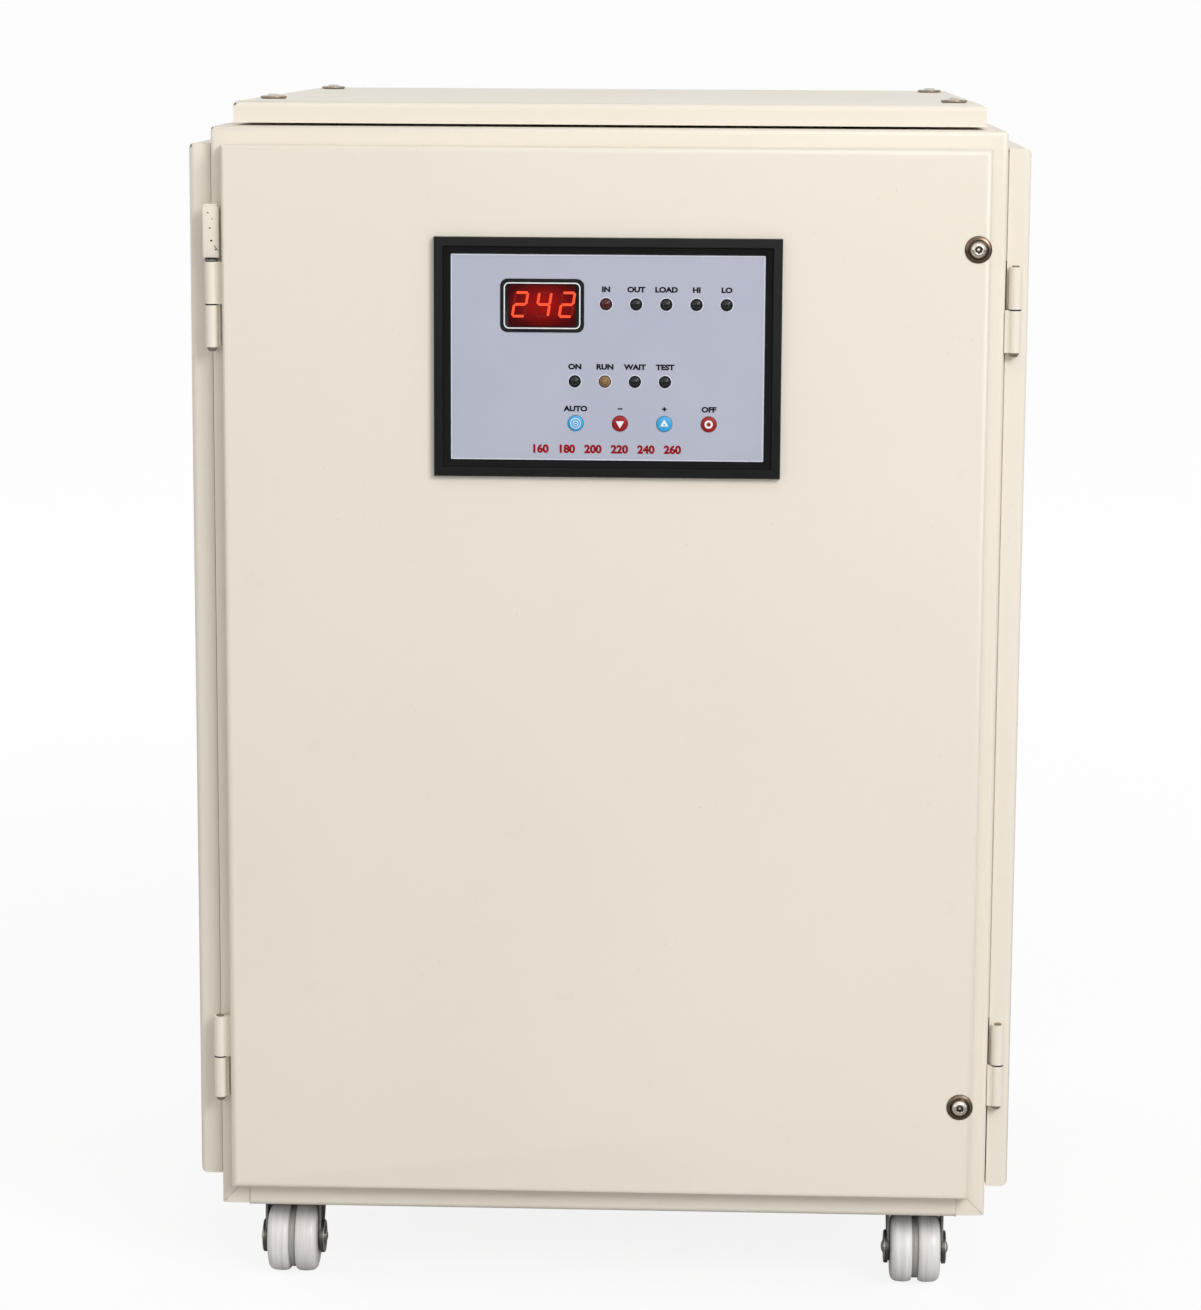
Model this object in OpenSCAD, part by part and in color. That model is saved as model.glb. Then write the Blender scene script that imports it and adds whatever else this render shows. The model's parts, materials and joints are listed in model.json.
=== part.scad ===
// Servo voltage stabilizer: a welded sheet-metal cabinet on four twin-wheel casters.
// The front door carries the control panel and hangs on lift-off hinges at its left edge.
// Both side doors are one pattern: the left one is the right one turned half a turn.
// Inside are the booster transformer, the servo-driven variable transformer and the controls.

/* [Cabinet frame] */
// Width of the welded frame
frame_w = 432; // [420:1:520]
// Depth of the welded frame
frame_d = 434; // [424:1:520]
// Height of the welded frame
frame_h = 607; // [590:1:800]
// Sheet of the frame, doors, cover and back panel
sheet_t = 1.5; // [1.2:0.1:1.8]
// Outside radius of a bend in the sheet
bend_r = 3.5; // [2.5:0.1:4]
// Leg of a corner post's angle section
post_leg = 30; // [28:1:34]
// Width of a post's foot beside the base rails
post_foot_w = 16; // [13:1:18]
// Height of the base rails and of the top ring's apron
rail_h = 30; // [24:1:34]
// How far the base rails stand proud of the posts
rail_proud = 0.8; // [0.4:0.1:1]
// How far the base rails drop below the posts' feet
rail_drop = 1.2; // [0.6:0.1:1.6]
// Width of the flange round the top opening
top_flange_w = 38; // [36:1:46]
// Height of the posts' feet above the ground
ride_h = 48.8; // [48.4:0.1:54]

/* [Front door] */
// Front door's face in front of the frame
door_proud = 12.7; // [12:0.1:14]
// Gap from the front door's rear edge to the frame
door_back_gap = 1.5; // [1.2:0.1:1.8]
// Frame left bare at the front door's hinge edge
door_hinge_gap = 7; // [6.7:0.1:8]
// Frame left bare at the front door's free edge
door_free_gap = 9; // [8:0.1:11]
// Frame left bare above the front door
door_top_gap = 9.9; // [8:0.1:12]
// Frame left bare below the front door
door_bottom_gap = 12.6; // [10:0.1:15]
// Width of the inward lips at a door's open side
door_lip = 8; // [6:0.5:10]

/* [Side doors] */
// Side doors' faces outside the frame
side_proud = 13; // [12:0.1:14]
// Gap from a side door's rear edge to the frame
side_back_gap = 0.9; // [0.6:0.1:1.2]
// Frame left bare at a side door's front and rear edges
side_end_gap = 7.2; // [6.9:0.1:8.4]
// Frame left bare above a side door
side_top_gap = 9.7; // [8:0.1:12]
// Frame left bare below a side door
side_bottom_gap = 15.3; // [12:0.1:18]

/* [Top cover] */
// Frame left bare at the cover's sides
cover_side_gap = 11.5; // [9:0.5:14]
// Frame left bare in front of the cover
cover_front_gap = 9.4; // [8:0.2:12]
// Frame left bare behind the cover
cover_back_gap = 9; // [8:0.2:12]
// Cover's face above the frame
cover_rise = 13.3; // [12:0.1:16]
// Gap under the cover's skirt
cover_lift = 1.5; // [1:0.1:2]
// Cover screws in from the cover's sides
cover_screw_in_x = 15; // [13:0.5:17]
// Cover screws in from the cover's front and rear edges
cover_screw_in_y = 57; // [45:1:70]

/* [Hinges] */
// Diameter of a hinge barrel
hinge_d = 7; // [6.6:0.1:7.2]
// Length of one half of a hinge barrel
hinge_half = 23; // [18:0.5:24]
// Gap between the two halves of a barrel
hinge_gap = 0.4; // [0.3:0.1:0.6]
// Diameter of a hinge pin
hinge_pin_d = 4; // [3.5:0.1:4.2]
// Lower hinges' split above the posts' feet
hinge_low = 87.3; // [75:0.5:110]
// Upper hinges' split below the frame's top
hinge_high = 96.4; // [90:0.5:120]
// Front door's hinge axis in from the frame's side
front_pivot_in = 0.5; // [0.3:0.1:0.7]
// Front door's hinge axis in front of the frame
front_pivot_out = 4; // [3.9:0.1:4.2]
// Side doors' hinge axis outside the frame
side_pivot_out = 5.4; // [5:0.1:5.8]
// Side doors' hinge axis back from the frame's front
side_pivot_back = 3.2; // [3:0.1:3.3]

/* [Fasteners and latches] */
// Front fasteners in from the frame's side
fastener_in = 15.9; // [15:0.1:17]
// Upper front fastener below the frame's top
fastener_high = 63.1; // [55:0.5:75]
// Lower front fastener above the posts' feet
fastener_low = 66.9; // [60:0.5:80]
// Diameter of a fastener's flange
flange_d = 14.8; // [13:0.1:15.4]
// Diameter of a fastener's domed head
dome_d = 10.5; // [9.5:0.1:11.5]
// Hexagon socket across flats
socket_af = 4; // [3:0.5:5]
// Side doors' latches above the posts' feet
latch_up = 330; // [320:1:380]

/* [Control panel] */
// Outside width of the panel's bezel
bezel_w = 188.5; // [180:0.5:196]
// Outside height of the panel's bezel
bezel_h = 130; // [126:0.5:140]
// Width of the bezel's border
bezel_border = 9; // [8:0.1:10]
// How far the bezel stands proud of the door
bezel_proud = 4.5; // [3.5:0.1:5.5]
// Panel's centre to the right of the cabinet's middle
panel_shift = 1; // [-4:0.5:4]
// Panel's centre below the frame's top
panel_down = 123; // [110:0.5:140]
// Width of the display's frame
display_w = 45; // [42:0.5:48]
// Height of the display's frame
display_h = 28.5; // [26:0.5:30]
// Diameter of a push button's cap
button_d = 8.4; // [7.6:0.1:9]
// Travel of a push button
button_travel = 0.8; // [0.5:0.1:1]
// Diameter of an indicator's lens
led_d = 5.8; // [4.8:0.1:6.4]

/* [Casters] */
// Diameter of a caster wheel
wheel_d = 40; // [36:0.5:40]
// Width of one tread of the twin wheel
tread_w = 12.5; // [11:0.1:13]
// Groove between the two treads
groove_w = 3.4; // [2.5:0.1:4]
// Caster's swivel axis in from the frame's sides
caster_in_x = 37.5; // [36:0.5:44]
// Caster's swivel axis in from the frame's front and rear
caster_in_y = 44; // [40:0.5:50]
// Offset of the wheel from its swivel axis
trail = 14; // [11:0.5:15]
// Width of a caster's square plate
caster_plate_w = 60; // [58:0.5:62]

/* [Power parts] */
// Width of the transformer's laminated core
core_w = 222; // [200:1:230]
// Height of the transformer's laminated core
core_h = 188; // [170:1:200]
// Thickness of the transformer's lamination stack
core_stack = 100; // [80:1:110]
// Outside diameter of the variable transformer's ring winding
variac_d = 190; // [170:1:192]
// Inside diameter of the variable transformer's ring winding
variac_bore = 90; // [80:1:96]
// Height of the variable transformer's ring winding
variac_h = 70; // [55:1:80]
// Shelf's underside above the posts' feet
shelf_up = 280; // [270:1:290]
// Teeth of the brush arm's gear
gear_teeth = 40; // [36:1:40]
// Teeth of the motor's pinion
pinion_teeth = 12; // [12:1:13]
// Module of the two gears
gear_module = 2.5; // [2.4:0.05:2.5]
// Diameter of the servo motor
motor_d = 56; // [48:1:58]
// Height of the servo motor
motor_h = 46; // [36:1:56]
// Side of the square cooling fan
fan_w = 120; // [110:1:124]
// Depth of the cooling fan
fan_depth = 38; // [36:1:40]
// Bore of a cable gland
gland_bore_d = 15; // [10:0.5:17]

/* [Hidden] */
$fn = 48;

// Colours
paint = [0.91, 0.87, 0.80];
bright_metal = [0.72, 0.71, 0.69];
dark_metal = [0.27, 0.26, 0.25];
black_plastic = [0.12, 0.12, 0.12];
plate_grey = [0.71, 0.72, 0.78];
white_nylon = [0.88, 0.87, 0.88];
copper_tone = [0.72, 0.38, 0.18];
tape_yellow = [0.80, 0.68, 0.30];
steel_grey = [0.48, 0.49, 0.50];
zinc_grey = [0.66, 0.67, 0.67];
board_green = [0.08, 0.33, 0.18];
switch_white = [0.84, 0.84, 0.82];
signal_red = [0.72, 0.10, 0.10];
signal_blue = [0.18, 0.62, 0.88];
carbon_black = [0.08, 0.08, 0.08];

// Clearances and overruns
overrun = 5;
running_fit = 0.05;
seat_fit = 0.02;
bolt_play = 0.3;
plain_gap = 0.3;

// Cabinet in its own frame: the origin is on the ground under the middle of the whole outline
gland_hex_h = 7;
gland_dome_h = 10;
gland_cone_h = 3;
gland_reach = gland_hex_h + gland_dome_h + gland_cone_h;
front_reach = door_proud + bezel_proud;
cabinet_y = (front_reach - frame_d - sheet_t - gland_reach) / 2;
half_w = frame_w / 2;
inner_bend_r = bend_r - sheet_t;
floor_z = sheet_t - rail_drop;

// Doors and cover
door_w = frame_w - door_hinge_gap - door_free_gap;
door_h = frame_h - door_top_gap - door_bottom_gap;
door_depth = door_proud - door_back_gap;
door_mid_x = (door_hinge_gap - door_free_gap) / 2;
side_w = frame_d - 2 * side_end_gap;
side_h = frame_h - side_top_gap - side_bottom_gap;
side_depth = side_proud - side_back_gap;
cover_w = frame_w - 2 * cover_side_gap;
cover_d = frame_d - cover_front_gap - cover_back_gap;
cover_depth = cover_rise - cover_lift;
cover_screw_x = cover_w / 2 - cover_screw_in_x;

// Hinges
knuckle_r = hinge_d / 2;
pin_r = hinge_pin_d / 2;
hinge_splits = [hinge_low, frame_h - hinge_high];
weld_tab_w = 4;
front_tab_out = 4.6;
side_tab_out = 3.2;
front_pivot_x = -half_w + front_pivot_in;
front_pivot_y = -front_pivot_out;
side_pivot_x = half_w + side_pivot_out;
pin_head_r = 2.8;
pin_head_h = 2.4;
pin_tip = 0.8;
stop_w = 9;
stop_d = 6;
stop_h = 28;
stop_gap = 2;

// Fasteners with a cross bar behind the sheet
flange_h = 1;
dome_h = 3;
stud_r = 2.5;
bar_len = 14;
bar_w = 3;
bar_gap = 0.5;
bar_play = 0.5;
socket_depth = 2;
latch_boss_r = 5;
latch_pin_r = 2.5;
latch_head_r = 4.5;
latch_head_t = 1.6;
latch_t = 3;
latch_w = 10;
latch_reach = 24;
latch_tail = 7;
latch_off = 10;
latch_gap = 0.1;
latch_face = side_proud + bar_gap;

// Screws that hold the cover and the back panel
screw_r = 3;
screw_len = 30;
nut_af = 10;
nut_h = 5;
spacer_r = 6;
panel_screw_r = 2.5;
panel_screw_head_r = 4.5;
panel_screw_head_h = 2.4;
panel_screw_len = 9;
panel_screw_in = 18;
panel_screw_shares = [0.1, 0.37, 0.63, 0.9];

// Back panel with its louvres
back_side_gap = 10;
back_end_gap = 12;
louvre_len = 74;
louvre_r = 6;
louvre_t = 1.2;
louvre_pitch = 20;
louvre_rows = 8;
louvre_mid_x = 62;
louvre_low = 130;

// Cooling fan behind the back panel
fan_mid_x = -90;
fan_down = 112;
fan_wall = 3;
fan_bore_r = fan_w / 2 - fan_wall;
fan_hub_r = 21;
fan_plate_t = 4;
fan_stator_r = 14;
fan_stator_h = 12;
fan_strut_w = 6;
fan_strut_root = 1.5;
fan_shaft_r = 3;
fan_blade_count = 7;
fan_blade_t = 1.8;
fan_blade_chord = 24;
fan_blade_tilt = 38;
fan_tip_gap = 1.5;
fan_cup_wall = 3;
fan_cup_gap = 2;
fan_cup_h = 24;
fan_hole_in = 7.5;
fan_hole_r = 2.2;
guard_wire_r = 1.1;
guard_bar_w = 2.6;
guard_sink_share = 0.5;
guard_ring_shares = [0.3, 0.53, 0.76, 0.99];
guard_lug_r = 5;
guard_lug_t = 1.4;

// Cable glands
gland_thread_r = 12.5;
gland_hex_af = 30;
gland_dome_r = 14;
gland_tip_r = 10.5;
gland_neck = 9;
gland_nut_h = 5;
gland_up = 64;
gland_x = 36;
gland_pitch = 56;
gland_xs = [gland_x, gland_x + gland_pitch];

// Shelf and upright plate
shelf_t = 2;
shelf_flange = 20;
shelf_end_gap = 12;
shelf_top = shelf_up + shelf_t;
plate_x0 = 66;
plate_x1 = 206;
plate_y = 200;
plate_h = 236;
plate_foot = 20;
plate_t = 2;

// Transformer on the base tray
core_leg = 37;
core_window_w = (core_w - 4 * core_leg) / 2;
core_window_h = core_h - 2 * core_leg;
core_up = 6;
core_mid_x = -66;
core_mid_y = 217;
coil_wall = 24;
coil_round = 12;
coil_play = 1;
clamp_leg = 30;
clamp_t = 3;
clamp_over = 10;
clamp_bolt_r = 4;
clamp_bolt_head_r = 6.5;
clamp_bolt_head_h = 5;

// Variable transformer with its motor drive on the shelf
variac_x = -96;
variac_y = 205;
variac_round = 8;
variac_foot_t = 6;
pillar_r = 5;
pillar_gap = 1.5;
pillar_foot = 4;
bridge_w = 66;
bridge_t = 5;
shaft_r = 6;
shaft_over = 3;
arm_up = 9;
arm_t = 5;
arm_w = 16;
arm_reach = 86;
arm_hub_r = 14;
brush_in = 8;
brush_len = 12;
brush_w = 9;
brush_gap = 0.2;
gear_t = 7;
gear_lift = 3;
bridge_lift = 3.5;
gear_backlash = 0.35;
gear_root_play = 0.3;
gear_flank_steps = 4;
gear_pressure = 20;
pinion_shaft_r = 3;
pinion_hole_r = 5;
pinion_seat = 8;
switch_len = 12;
switch_w = 10;
switch_h = 10;
switch_from_mid = 13;
coil_top = variac_foot_t + variac_h;
arm_z = coil_top + arm_up;
gear_z = arm_z + arm_t + gear_lift;
bridge_z = gear_z + gear_t + bridge_lift;
pillar_at = variac_d / 2 + pillar_gap + pillar_r;
variac_foot_r = pillar_at + pillar_r + pillar_foot;
pitch_r = gear_module * gear_teeth / 2;
pinion_pitch_r = gear_module * pinion_teeth / 2;
gear_distance = pitch_r + pinion_pitch_r;

// Control board lying on the shelf
board_x = 124;
board_y = 210;
board_w = 160;
board_d = 200;
board_t = 1.6;
standoff_r = 3;
standoff_h = 10;
standoff_in = 6;
relay_w = 28;
relay_d = 16;
relay_h = 20;
relay_count = 5;
relay_pitch = 22;
relay_x = 46;
supply_w = 52;
supply_d = 44;
supply_h = 40;
supply_x = -42;
supply_y = 62;
can_r = 9;
can_h = 28;
can_x = -56;
can_y = 8;
can_pitch = 22;
sink_w = 50;
sink_h = 32;
sink_base = 4;
sink_fin_t = 1.6;
sink_fins = 7;
sink_d = 30;
sink_x = -36;
sink_y = -66;
plug_strip_w = 66;
plug_strip_d = 12;
plug_strip_h = 14;
plug_strip_x = 38;
plug_strip_y = -84;

// Contactor, breaker and terminals on the upright plate
contactor_w = 45;
contactor_d = 84;
contactor_h = 76;
contactor_x = 100;
contactor_up = 146;
slide_w = 14;
slide_h = 9;
slide_out = 5;
slide_in = 8;
slide_play = 0.25;
breaker_w = 36;
breaker_d = 62;
breaker_h = 84;
breaker_x = 160;
breaker_up = 142;
breaker_nose_d = 12;
breaker_nose_h = 45;
toggle_r = 6;
toggle_w = 28;
toggle_play = 0.3;
toggle_len = 15;
toggle_t = 5;
toggle_pin_r = 1.5;
toggle_rest = 32;
toggle_slot_h = 19;
terminal_w = 114;
terminal_d = 28;
terminal_h = 32;
terminal_x = 136;
terminal_up = 52;
terminal_ways = 8;
terminal_slot_share = 0.62;
terminal_slot_d = 9;
terminal_screw_r = 3.4;

// Control panel pieces, measured from the panel's centre on the door's face
bezel_edge = 1.2;
bezel_outer_run = 2.6;
bezel_ridge = 3.2;
face_t = 1.5;
face_play = 0.3;
cutout_border = 5.5;
cut_round = 4;
display_x = -35.5;
display_z = 28.1;
display_out = 0.5;
display_rim_x = 2.6;
display_rim_z = 2.8;
display_sink = 1;
display_play = 0.25;
led_row_one = 29.2;
led_row_two = -12.7;
led_pitch = 16.3;
led_row_one_x = -0.9;
led_row_two_x = -17.6;
led_row_one_count = 5;
led_row_two_count = 4;
led_play = 0.3;
led_out = 0.5;
led_dome = 1.4;
led_rim = 0.15;
button_row = -35.5;
button_x = -17.1;
button_pitch = 24.1;
button_xs = [for (i = [0:3]) button_x + i * button_pitch];
button_play = 0.2;
button_collar = 1.1;
button_collar_t = 1;
button_stem_r = 2;
tact_w = 6;
tact_h = 3.5;
circuit_back = 8.7;
circuit_w = 152;
circuit_h = 94;
circuit_t = 1.6;
circuit_post_r = 2.5;
circuit_post_in = 5;

// Casters, measured from the ground
shoulder_r = 4;
groove_core_r = 15;
axle_r = 3;
fork_gap = 0.4;
fork_t = 1.5;
hub_disc_r = 9.5;
hub_disc_t = 1.2;
axle_head_r = 3.6;
axle_head_h = 1;
caster_plate_t = 2;
race_r = 13;
race_h = 1;
crown_gap = 0.3;
crown_t = 2;
crown_r = 13;
kingpin_r = 4;
kingpin_head_r = 7;
kingpin_head_h = 1.2;
arm_top_w = 22;
arm_foot_w = 15;
arm_foot_r = 8.2;
caster_bolt_r = 3;
caster_bolt_in = 6;
caster_bolt_head_r = 5;
caster_bolt_head_h = 3;
caster_nut_af = 10;
caster_nut_h = 5;
caster_top = ride_h - rail_drop;
axle_z = wheel_d / 2;
wheel_w = 2 * tread_w + groove_w;
crown_top = caster_top - caster_plate_t - race_h - crown_gap;

// Shared shapes

// Puts a piece measured from the frame's front, its middle and the posts' feet in place
module in_cabinet() {
    translate([0, cabinet_y, ride_h]) children();
}

// Repeats a piece at the frame's four corners, facing inwards each time
module at_corners() {
    for (right = [0, 1], rear = [0, 1])
        translate([(2 * right - 1) * half_w, rear * frame_d, 0])
            mirror([right, 0, 0]) mirror([0, rear, 0]) children();
}

// Turns a piece half a turn about the cabinet's upright middle line
module half_turned() {
    translate([0, frame_d, 0]) rotate(180) children();
}

// Cylinder along +Y
module rod_y(r, length) {
    rotate([-90, 0, 0]) cylinder(h = length, r = r);
}

// Cylinder along +X
module rod_x(r, length) {
    rotate([0, 90, 0]) cylinder(h = length, r = r);
}

// Section of a channel with two bends at y = 0, open at y = d
module channel_section(w, d, r) {
    translate([-w / 2, r]) square([w, d - r]);
    translate([-w / 2 + r, 0]) square([w - 2 * r, r]);
    for (side = [-1, 1])
        translate([side * (w / 2 - r), r]) circle(r);
}

// Rectangle with its four corners rounded
module round_rect(w, h, r) {
    square([w - 2 * r, h], center = true);
    square([w, h - 2 * r], center = true);
    for (sx = [-1, 1], sy = [-1, 1])
        translate([sx * (w / 2 - r), sy * (h / 2 - r)]) circle(r);
}

// Block whose four edges round its face at y = 0 are bent
module bent_block(w, h, d, r) {
    intersection() {
        linear_extrude(h) channel_section(w, d, r);
        translate([-w / 2, 0, h / 2]) rotate([90, 0, 90])
            linear_extrude(w) rotate(90) mirror([0, 1]) channel_section(h, d, r);
    }
}

// Door pan with its face at y = 0 and lips round its open back
module door_pan(w, h, d) {
    difference() {
        bent_block(w, h, d, bend_r);
        translate([0, sheet_t, sheet_t])
            bent_block(w - 2 * sheet_t, h - 2 * sheet_t, d - 2 * sheet_t, inner_bend_r);
        translate([-w / 2 + sheet_t + door_lip, d / 2, sheet_t + door_lip])
            cube([w - 2 * (sheet_t + door_lip), d, h - 2 * (sheet_t + door_lip)]);
    }
}

// Block whose four edges round its top face are bent
module bent_cap(w, d, h, r) {
    intersection() {
        translate([0, d, h]) rotate([90, 0, 0]) linear_extrude(d) mirror([0, 1]) channel_section(w, h, r);
        translate([-w / 2, d / 2, h]) rotate([90, 0, 90])
            linear_extrude(w) mirror([0, 1]) channel_section(d, h, r);
    }
}

// Angle section with its outer corner at the origin
module angle_section(leg_x, leg_y, t, r) {
    difference() {
        union() {
            translate([r, 0]) square([leg_x - r, t]);
            translate([0, r]) square([t, leg_y - r]);
            intersection() {
                translate([r, r]) circle(r);
                square(r);
            }
        }
        translate([r, r]) circle(r - t);
        translate([r, t]) square([leg_x, r]);
        translate([t, r]) square([r, leg_y]);
    }
}

// Section of a folded rail: a floor strip and an upright wall
module rail(length, floor_w) {
    translate([-length / 2, -rail_proud, -rail_drop]) rotate([90, 0, 90])
        linear_extrude(length) angle_section(floor_w + rail_proud, rail_h + rail_drop, sheet_t, bend_r);
}

// Head of a socket fastener, with its flange's seat at y = 0 and its dome towards -Y
module socket_head() {
    sphere_r = (pow(dome_d / 2, 2) + pow(dome_h, 2)) / (2 * dome_h);
    difference() {
        union() {
            translate([0, -flange_h, 0]) rod_y(flange_d / 2, flange_h);
            intersection() {
                translate([0, sphere_r - flange_h - dome_h, 0]) sphere(sphere_r);
                translate([0, -flange_h - dome_h, 0]) rod_y(flange_d / 2, dome_h + flange_h / 2);
            }
        }
        translate([0, -flange_h - dome_h, 0]) rotate([-90, 0, 0])
            cylinder(h = socket_depth, r = socket_af / 2 / cos(30), $fn = 6);
    }
}

// Hexagon prism along +Z
module hexagon(af, h) {
    cylinder(h = h, r = af / 2 / cos(30), $fn = 6);
}

// Nut along +Z
module nut(af, h, hole_r) {
    difference() {
        hexagon(af, h);
        translate([0, 0, -overrun]) cylinder(h = h + 2 * overrun, r = hole_r);
    }
}

// Welded frame

// Slot in a post that lets a fastener's cross bar through
module fastener_slot() {
    translate([0, -overrun, 0]) rod_y(stud_r + bar_play, sheet_t + 2 * overrun);
    translate([-bar_w / 2 - bar_play, -overrun, -bar_len / 2 - 2 * bar_play])
        cube([bar_w + 2 * bar_play, sheet_t + 2 * overrun, bar_len + 4 * bar_play]);
}

module corner_posts() color(paint) in_cabinet() difference() {
    at_corners() difference() {
        linear_extrude(frame_h - rail_h) angle_section(post_leg, post_leg, sheet_t, bend_r);
        translate([post_foot_w, -overrun, -overrun])
            cube([post_leg, post_leg + overrun, rail_h + overrun]);
        translate([-overrun, post_foot_w, -overrun])
            cube([post_leg + overrun, post_leg, rail_h + overrun]);
    }
    for (z = [fastener_low, frame_h - fastener_high])
        translate([half_w - fastener_in, 0, z]) fastener_slot();
    at_panel_screws() translate([0, -overrun, 0])
        rod_y(panel_screw_r + bolt_play, 2 * overrun);
}

module top_ring() color(paint) in_cabinet() translate([0, 0, frame_h - rail_h]) difference() {
    intersection() {
        bent_cap(frame_w, frame_d, rail_h, bend_r);
        translate([0, frame_d / 2, 0]) linear_extrude(rail_h) round_rect(frame_w, frame_d, bend_r);
    }
    translate([0, sheet_t, -sheet_t]) intersection() {
        bent_cap(frame_w - 2 * sheet_t, frame_d - 2 * sheet_t, rail_h, inner_bend_r);
        translate([0, frame_d / 2 - sheet_t, 0])
            linear_extrude(rail_h) round_rect(frame_w - 2 * sheet_t, frame_d - 2 * sheet_t, inner_bend_r);
    }
    translate([-half_w + top_flange_w, top_flange_w, 0])
        cube([frame_w - 2 * top_flange_w, frame_d - 2 * top_flange_w, rail_h + overrun]);
    at_cover_screws() cylinder(h = rail_h + overrun, r = screw_r + bolt_play);
}

module base_tray() color(paint) in_cabinet() difference() {
    union() {
        rail(frame_w - 2 * post_foot_w, post_foot_w);
        half_turned() rail(frame_w - 2 * post_foot_w, post_foot_w);
        for (side = [-1, 1])
            translate([0, frame_d / 2, 0]) rotate(side * 90) translate([0, -half_w, 0])
                rail(frame_d - 2 * post_foot_w, post_foot_w);
        translate([-half_w + post_foot_w, bend_r, -rail_drop])
            cube([frame_w - 2 * post_foot_w, frame_d - 2 * bend_r, sheet_t]);
        translate([-half_w + bend_r, post_foot_w, -rail_drop])
            cube([frame_w - 2 * bend_r, frame_d - 2 * post_foot_w, sheet_t]);
    }
    at_caster_bolts() translate([0, 0, -overrun])
        cylinder(h = 2 * overrun, r = caster_bolt_r + bolt_play);
}

// Hinges

// Fixed lower half of a barrel on its axis, with its weld tab towards +Y and the flat of the frame
module fixed_knuckle(tab_len, tab_out) {
    translate([0, 0, -hinge_half - hinge_gap / 2]) difference() {
        union() {
            cylinder(h = hinge_half, r = knuckle_r);
            translate([-weld_tab_w / 2, 0, 0]) cube([weld_tab_w / 2 + tab_out, tab_len, hinge_half]);
        }
        translate([0, 0, -overrun]) cylinder(h = hinge_half + 2 * overrun, r = pin_r + seat_fit);
    }
}

// Upper half of a barrel that turns on the pin, with its weld tab towards +Y
module door_knuckle(tab_len) {
    translate([0, 0, hinge_gap / 2]) difference() {
        union() {
            cylinder(h = hinge_half, r = knuckle_r);
            translate([-weld_tab_w / 2, 0, 0]) cube([weld_tab_w, tab_len, hinge_half]);
        }
        translate([0, 0, -overrun]) cylinder(h = hinge_half + 2 * overrun, r = pin_r + running_fit);
    }
}

// Hinge pin with its domed head under the fixed knuckle
module hinge_pin() {
    bottom = -hinge_half - hinge_gap / 2;
    translate([0, 0, bottom - pin_head_h / 2])
        cylinder(h = 2 * hinge_half + hinge_gap + pin_head_h / 2 + pin_tip, r = pin_r);
    intersection() {
        translate([0, 0, bottom]) sphere(pin_head_r);
        translate([0, 0, bottom - pin_head_h]) cylinder(h = pin_head_h, r = 2 * pin_head_r);
    }
}

// Puts a piece at both hinges of the front door, with +Y towards the frame
module at_front_hinges() {
    for (z = hinge_splits)
        translate([front_pivot_x, front_pivot_y, z]) children();
}

// Puts a piece at both hinges of the right door
module at_side_hinges() {
    for (z = hinge_splits)
        translate([side_pivot_x, side_pivot_back, z]) children();
}

module hinge_knuckles() color(paint) in_cabinet() {
    at_front_hinges() fixed_knuckle(front_pivot_out, front_tab_out);
    at_side_hinges() rotate(90) fixed_knuckle(side_pivot_out, side_tab_out);
    half_turned() at_side_hinges() rotate(90) fixed_knuckle(side_pivot_out, side_tab_out);
}

module hinge_pins() color(bright_metal) in_cabinet() {
    at_front_hinges() hinge_pin();
    at_side_hinges() hinge_pin();
    half_turned() at_side_hinges() hinge_pin();
}

// Block welded over the upper front hinge, so that the closed door can't be lifted off
module hinge_lift_stop() color(paint) in_cabinet()
    translate([front_pivot_x + front_tab_out - stop_w, -stop_d,
               hinge_splits[1] + hinge_gap / 2 + hinge_half + stop_gap])
        cube([stop_w, stop_d, stop_h]);

// Back panel

// Puts a piece at each screw of the back panel, on the posts' rear face
module at_panel_screws() {
    for (side = [-1, 1], share = panel_screw_shares)
        translate([side * (half_w - panel_screw_in), frame_d, share * frame_h]) children();
}

// Hood of one louvre, open downwards
module louvre_hood() {
    difference() {
        intersection() {
            translate([-louvre_len / 2, 0, 0]) rod_x(louvre_r, louvre_len);
            translate([-louvre_len / 2, 0, 0]) cube([louvre_len, louvre_r, louvre_r]);
        }
        translate([-louvre_len / 2 + louvre_t, 0, 0]) rod_x(louvre_r - louvre_t, louvre_len - 2 * louvre_t);
    }
}

// Places of the louvres on the back panel
module at_louvres() {
    for (side = [-1, 1], row = [0:louvre_rows - 1])
        translate([side * louvre_mid_x, frame_d + sheet_t, louvre_low + row * louvre_pitch]) children();
}

module back_panel() color(paint) in_cabinet() {
    difference() {
        translate([-half_w + back_side_gap, frame_d, rail_h + plain_gap])
            cube([frame_w - 2 * back_side_gap, sheet_t, frame_h - back_end_gap - rail_h - plain_gap]);
        at_panel_screws() translate([0, -overrun, 0])
            rod_y(panel_screw_r + bolt_play, sheet_t + 2 * overrun);
        at_fan() translate([0, -overrun, 0]) rod_y(fan_bore_r, fan_depth + 2 * overrun);
        for (x = gland_xs)
            translate([x, frame_d - overrun, gland_up])
                rod_y(gland_thread_r + bolt_play, sheet_t + 2 * overrun);
        at_louvres() translate([-louvre_len / 2 + louvre_t, -sheet_t - overrun, 0])
            cube([louvre_len - 2 * louvre_t, sheet_t + 2 * overrun, louvre_r - 2 * louvre_t]);
    }
    at_louvres() louvre_hood();
}

module back_panel_screws() color(bright_metal) in_cabinet() at_panel_screws() {
    translate([0, sheet_t, 0]) rod_y(panel_screw_head_r, panel_screw_head_h);
    translate([0, sheet_t - panel_screw_len, 0]) rod_y(panel_screw_r, panel_screw_len);
}

// Top cover

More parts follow.
